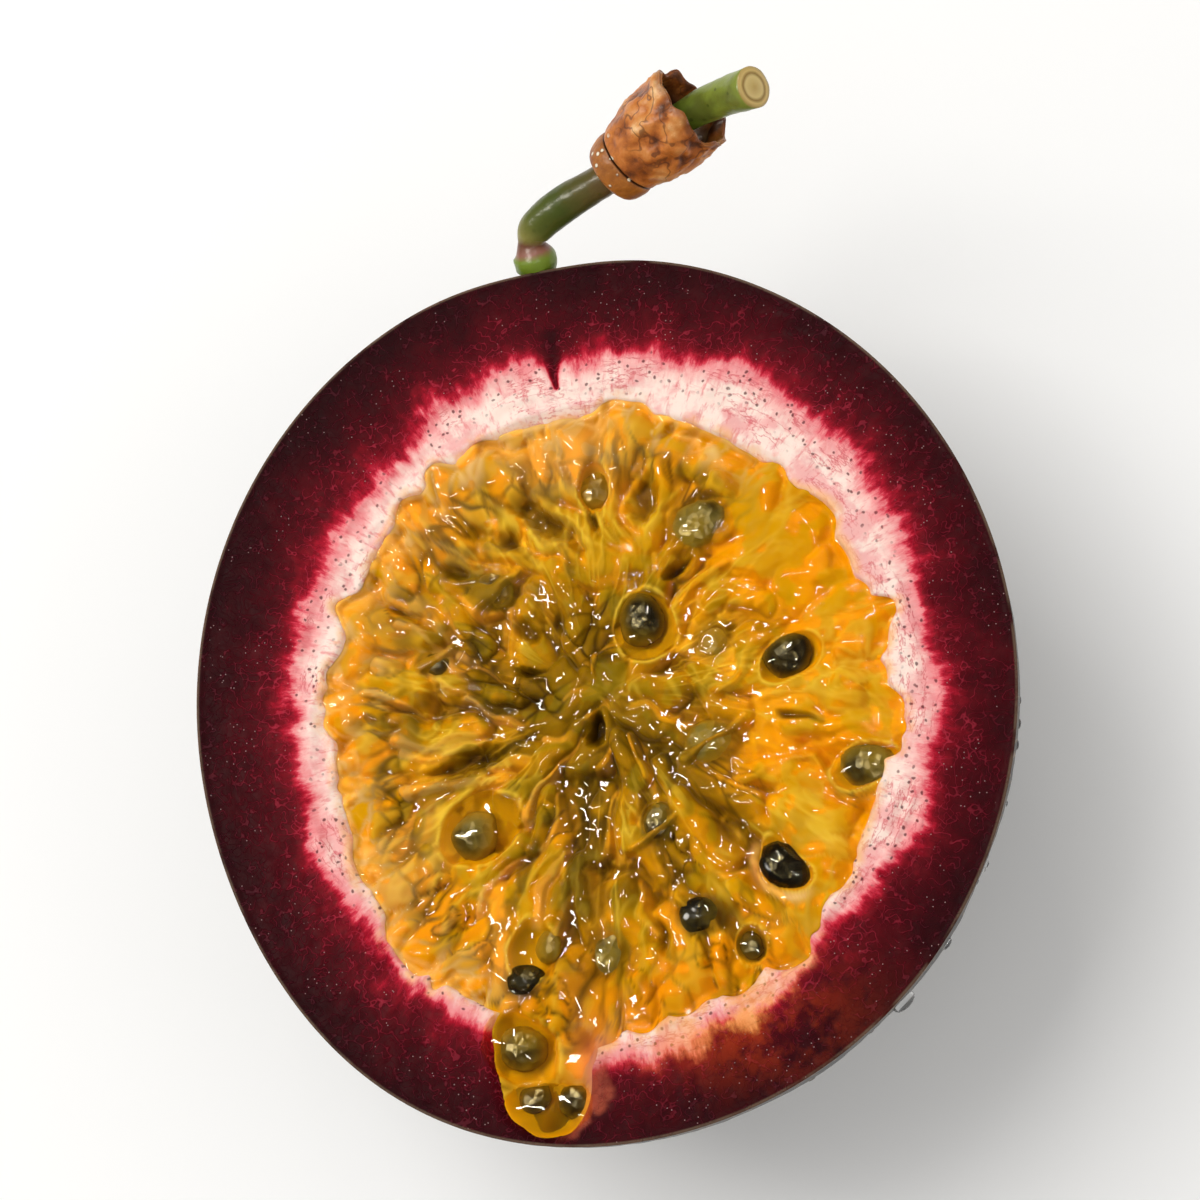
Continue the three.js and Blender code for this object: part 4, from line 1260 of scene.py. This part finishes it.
def makeStalk(look):
    path = smoothPath(stalkStations, look["points"])
    path[:, 2] += fruit["cutHeight"]
    body = np.column_stack([path, np.linspace(0, 1, look["points"])])
    way = path[-1, :3] - path[-2, :3]
    way /= np.linalg.norm(way)
    startWay = (path[0, :3] - path[1, :3]) / np.linalg.norm(path[0, :3] - path[1, :3])
    first, last = [], []
    for step in range(1, look["capRows"] + 1):
        share = step / look["capRows"]
        rise, width = look["capHeight"] * math.sqrt(share), 1 - 0.99 * share
        last.append([*(path[-1, :3] + way * rise), path[-1, 3] * width, 1 + share])
        first.append([*(path[0, :3] + startWay * rise), path[0, 3] * width, 0])
    rows = np.vstack([first[::-1], body, last])     # x, y, z, radius, and how far along
    chain = [(i, i + 1) for i in range(len(rows) - 1)]
    source = pointCloud("stalkPath", rows[:, :3], chain, thickness=rows[:, 3] * mm, along=rows[:, 4])
    return grow(source, sweepTree("greenStalk"), {
        "Sides": look["sides"], "Unevenness": look["unevenness"] * mm, "Lump Size": look["lumpSize"] * mm,
        "Material": makeStalkMaterial()}, "greenStalk")


print("stalk")
greenStalk = makeStalk(stalkLook)
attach(greenStalk, "root")
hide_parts("stalk")

# The dried flower cup round the stalk: smooth collar, a groove painted dark as shade, papery body with a torn
# mouth.
cupLook = {
    "sides": 160, "rows": 130, "length": 7.7, "bore": 1.5, "collar": 2.35, "grooveAt": 1.85, "mouth": 3.15,
    "tear": 0.5, "crumple": 0.2, "crumpleGrain": 1.2, "curl": 0.3, "pleats": 9,
}


def makeCupMaterial():
    # dry papery husk: tan orange, with painted shade in its folds and painted highlight on their crests,
    # painted shade near black in the groove and inside the mouth, and dark torn edges
    material, tree = newMaterial("paperyHusk")
    place = addNode(tree, "ShaderNodeTexCoord", out="Object")
    along, fold = (addNode(tree, "ShaderNodeAttribute", out="Fac", attribute_name=label)
                   for label in ("along", "fold"))
    cloud = pattern(tree, "Noise", place, 2.0, Detail=5, Roughness=0.65)
    # painted shade in the dents of the folds and painted highlight on their bulges, over the husk's own tone
    foldShadeAndTone = addNode(tree, "ShaderNodeMath", (fold, 0.24, cloud), operation="MULTIPLY_ADD")
    husk = addNode(tree, "ShaderNodeValToRGB", (foldShadeAndTone,), stops=(
        (0.26, "#5a2c0e"), (0.4, "#9c5217"), (0.54, "#c3722a"), (0.68, "#d08a45"), (0.84, "#e6b67c")))
    collar = addNode(tree, "ShaderNodeValToRGB", (cloud,), stops=((0.3, "#7f4415"), (0.55, "#b06a20"),
                                                                  (0.8, "#cf9440")))
    veins = threads(tree, pattern(tree, "Noise", place, 1.54), 0.03, 0.008)
    offsets = [addNode(tree, "ShaderNodeMath", (along, middle), operation="SUBTRACT")
               for middle in (0.262, 1.0)]
    fromGroove, fromMouth = (addNode(tree, "ShaderNodeMath", (offset,), operation="ABSOLUTE")
                             for offset in offsets)
    beads = mask(tree, (pattern(tree, "Voronoi", place, 0.909), 0.2, 0.12), (along, 0.4, 0.3))
    colour = paintOver(
        tree, husk,
        (mask(tree, (along, 0.29, 0.24)), 1.0, collar),
        (mask(tree, veins, (along, 0.4, 0.6)), 0.6, "#4a220c"),
        # painted shade in the groove
        (mask(tree, (fromGroove, 0.02, 0.008)), 0.85, "#2a1208"),
        (mask(tree, (fromMouth, 0.05, 0.01)), 0.5, "#5a2f14"),
        # painted shade inside the mouth
        (mask(tree, (along, 1.0, 1.15)), 0.75, "#3a1c0c"),
        (beads, 1.0, "#f0e2c6"))
    height = addNode(tree, "ShaderNodeMath", (cloud, beads), operation="ADD")
    finishMaterial(tree, {"Base Color": colour, "Roughness": 0.42, "IOR": 1.45, "Subsurface Weight": 0.08,
                          "Subsurface Radius": (0.8, 0.4, 0.2), "Subsurface Scale": 0.5 * mm}, height, 0.8)
    return material


def makeCup(look):
    length, mouth, groove = look["length"], look["mouth"], look["grooveAt"]
    collar, bore = look["collar"], look["bore"]
    profile = [   # height, radius, how much it crumples, how much it tears, along
        (0.0, bore, 0, 0, 0.0), (0.05, collar - 0.5, 0, 0, 0.0), (0.3, collar - 0.12, 0.2, 0, 0.04),
        (0.8, collar + 0.05, 0.25, 0, 0.11), (1.4, collar + 0.12, 0.25, 0, 0.19),
        (groove - 0.12, collar + 0.05, 0.2, 0, 0.245), (groove, collar - 0.12, 0.2, 0, 0.26),
        (groove + 0.14, collar + 0.12, 0.3, 0, 0.28), (2.7, mouth - 0.5, 0.7, 0, 0.38),
        (4.0, mouth - 0.12, 1, 0.1, 0.56), (5.4, mouth, 1.2, 0.4, 0.75), (6.6, mouth, 1.4, 0.8, 0.89),
        (length, mouth + 0.02, 1.5, 1, 0.99), (length + 0.06, mouth - 0.12, 1.5, 1, 1.0),
        (length, mouth - 0.3, 1.5, 1, 1.02), (6.2, mouth - 0.42, 1.2, 0.7, 1.15),
        (5.0, mouth - 0.6, 0.8, 0.2, 1.4), (4.5, bore + 0.2, 0.2, 0, 1.8), (4.4, 0.9, 0, 0, 2.0),
    ]
    path = smoothPath(profile, look["rows"])
    angle = around(look["sides"])
    tear = 0.5 * np.sin(2 * angle + 1) + 0.35 * np.sin(5 * angle) + 0.2 * np.sin(11 * angle + 2)
    rows, along, fold = [], [], []
    for height, radius, crumple, torn, share in path:
        grid = ringPoints(angle, 3.0, height)
        lump = layeredNoise(grid, look["crumpleGrain"], 121, 3)
        pleat = 0.5 * np.sin(look["pleats"] * angle + 1.5 * softNoise(grid, 2.5, 131))
        out = radius + look["crumple"] * crumple * (lump + pleat * 0.6)
        out = out + look["curl"] * torn * np.maximum(tear, 0) * smoothStep(share, 0.8, 1.0)
        rows.append(ringPoints(angle, out, height + torn * look["tear"] * tear))
        along.append(share + 0 * angle)
        fold.append(lump * crumple)
    mesh, points = ringMesh("flowerCup", np.array(rows))
    addAttribute(mesh, "along", withPoles(along))
    addAttribute(mesh, "fold", withPoles(fold))
    entry, leave = np.array(stalkStations[5][:3]), np.array(stalkStations[7][:3])
    way = Vector(leave - entry).normalized()
    turned = Vector((0, 0, 1)).rotation_difference(way).to_matrix().to_4x4()
    base = Vector((entry + (0, 0, fruit["cutHeight"])) * mm)
    mesh.transform(Matrix.Translation(base) @ turned)
    mesh.materials.append(makeCupMaterial())
    return linkObject("flowerCup", mesh)


print("flower cup")
flowerCup = makeCup(cupLook)
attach(flowerCup, "root")
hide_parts("calyx")

# Water drops on the peel, and fine ones on the cut rim.
dropLook = {"count": 420, "size": (0.35, 1.9), "highest": 1.15, "lowest": 0.08, "segments": 12, "rings": 7,
            "seed": 77}


def dropTree():
    # a flat-bottomed bead on every point, standing off along the point's own way up
    tree, given = newGeometryTree("waterDrops", {"Segments": "Int", "Rings": "Int", "Material": "Material"})
    ball = addNode(tree, "GeometryNodeMeshUVSphere", {"Segments": given["Segments"], "Rings": given["Rings"],
                                                      "Radius": 0.5})
    bead = addNode(tree, "GeometryNodeTransform", {"Geometry": ball, "Scale": (1, 1, 0.62)})
    upwards, size = (
        addNode(tree, "GeometryNodeInputNamedAttribute", {"Name": label}, data_type="FLOAT_VECTOR")
        for label in ("upwards", "size"))
    turn = addNode(tree, "FunctionNodeAlignRotationToVector", {"Vector": upwards}, axis="Z")
    placed = addNode(tree, "GeometryNodeInstanceOnPoints", {
        "Points": given["Geometry"], "Instance": bead, "Rotation": turn, "Scale": size})
    real = addNode(tree, "GeometryNodeRealizeInstances", {"Geometry": placed})
    return finishTree(tree, real, given)


def makeDrops(look):
    draw = np.random.default_rng(look["seed"])
    angle = draw.uniform(0, fullTurn, look["count"])
    dip = draw.uniform(look["lowest"], look["highest"], look["count"])
    skin = skinRadius(angle)
    rim = cutFace(angle, skin)
    height = rim - fruit["halfDepth"] * np.sin(dip) * rim / fruit["cutHeight"]
    points = ringPoints(angle, skin * np.cos(dip), height)
    upwards = ringPoints(angle, np.cos(dip) / skin, -np.sin(dip) / fruit["halfDepth"])
    upwards /= np.linalg.norm(upwards, axis=1)[:, None]
    size = look["size"][0] + (look["size"][1] - look["size"][0]) * draw.random(look["count"]) ** 3.5
    sizes = np.stack([size, size * draw.uniform(0.8, 1.1, look["count"]), size * 0.75], axis=-1) * mm
    source = pointCloud("dropPoints", points + upwards * size[:, None] * 0.06, upwards=upwards, size=sizes)
    return grow(source, dropTree(), {
        "Segments": look["segments"], "Rings": look["rings"],
        "Material": clearMaterial("water", "#ffffff", 0.02, 1.333)}, "waterDrops")


print("drops")
waterDrops = makeDrops(dropLook)
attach(waterDrops, "root")

# Floor, light and camera.
studio = {
    "floorSize": 6.0,
    "floorColour": "#f3f2f0",
    "lens": 90.0,
    "azimuth": 37.0, "elevation": 74.0,   # from straight ahead towards +X, and up
    "roll": 8.0,
    "fill": 0.9,                          # share of the picture that the object takes
    "focusHeight": 0.027,
}


def makeFloor(look):
    half = look["floorSize"] / 2
    corners = [(-half, -half, 0), (half, -half, 0), (half, half, 0), (-half, half, 0)]
    mesh = bpy.data.meshes.new("floor")
    mesh.from_pydata(corners, [], [(0, 1, 2, 3)])
    material, tree = newMaterial("paleFloor")
    finishMaterial(tree, {"Base Color": look["floorColour"], "Roughness": 0.6})
    mesh.materials.append(material)
    linkObject("floor", mesh)


def lamp(name, place, size, length, power, forGloss):
    light = bpy.data.lights.new(name, "AREA")
    light.shape = "RECTANGLE"
    light.size = size
    light.size_y = length
    light.energy = power
    light.color = (1.0, 0.95, 0.86) if forGloss else (1.0, 1.0, 1.0)
    holder = linkObject(name, light)
    holder.location = place
    holder.rotation_euler = (Vector((0, 0, 0.02)) - Vector(place)).to_track_quat("-Z", "Y").to_euler()
    holder.visible_glossy = forGloss     # a wide lamp would lie on the wet pulp as flat white patches
    holder.visible_diffuse = not forGloss


def makeCamera(look):
    azimuth = math.radians(look["azimuth"])
    elevation = math.radians(look["elevation"])
    towards = Vector((math.sin(azimuth) * math.cos(elevation), -math.cos(azimuth) * math.cos(elevation),
                      math.sin(elevation)))
    level = Vector((math.cos(azimuth), math.sin(azimuth), 0))
    turn = azimuth + math.radians(look["roll"])
    right = level * math.cos(turn) - towards.cross(level) * math.sin(turn)
    up = towards.cross(right)
    camera = bpy.data.cameras.new("camera")
    camera.lens = look["lens"]
    camera.clip_start = 0.01
    holder = linkObject("camera", camera)
    corners = [v.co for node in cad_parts.values() for v in node.data.vertices]
    place = towards * look["focusHeight"]
    reach = 0
    for axis in (right, up):
        spans = [corner.dot(axis) for corner in corners]
        reach = max(reach, max(spans) - min(spans))
        place = place + axis * (max(spans) + min(spans)) / 2
    place += towards * reach / look["fill"] * camera.lens / camera.sensor_width
    holder.matrix_world = Matrix.Translation(place) @ Matrix((right, up, towards)).transposed().to_4x4()
    bpy.context.scene.camera = holder


print("studio")
makeFloor(studio)
lamp("keyLight", (-0.2, 0.16, 0.5), 0.36, 0.36, 1.9, False)
lamp("fillLight", (0.42, -0.12, 0.36), 0.3, 0.3, 0.25, False)
lamp("leftStrip", (-0.28, 0.06, 0.45), 0.03, 0.26, 1.7, True)
lamp("topStrip", (0.02, 0.3, 0.42), 0.03, 0.16, 1.2, True)
lamp("nearStrip", (0.1, -0.14, 0.5), 0.03, 0.1, 0.4, True)
makeCamera(studio)
world = bpy.data.worlds.new("studioWorld")
world.use_nodes = True
backdrop = world.node_tree.nodes["Background"]
backdrop.inputs["Color"].default_value = linear("#ffffff")
glossyRay = addNode(world.node_tree, "ShaderNodeLightPath", out="Is Glossy Ray")
# wet things mirror a dim room
strength = addNode(world.node_tree, "ShaderNodeMath", (glossyRay, -0.55, 0.6), operation="MULTIPLY_ADD")
world.node_tree.links.new(strength, backdrop.inputs["Strength"])
bpy.context.scene.world = world
bpy.context.scene.view_settings.view_transform = "Standard"
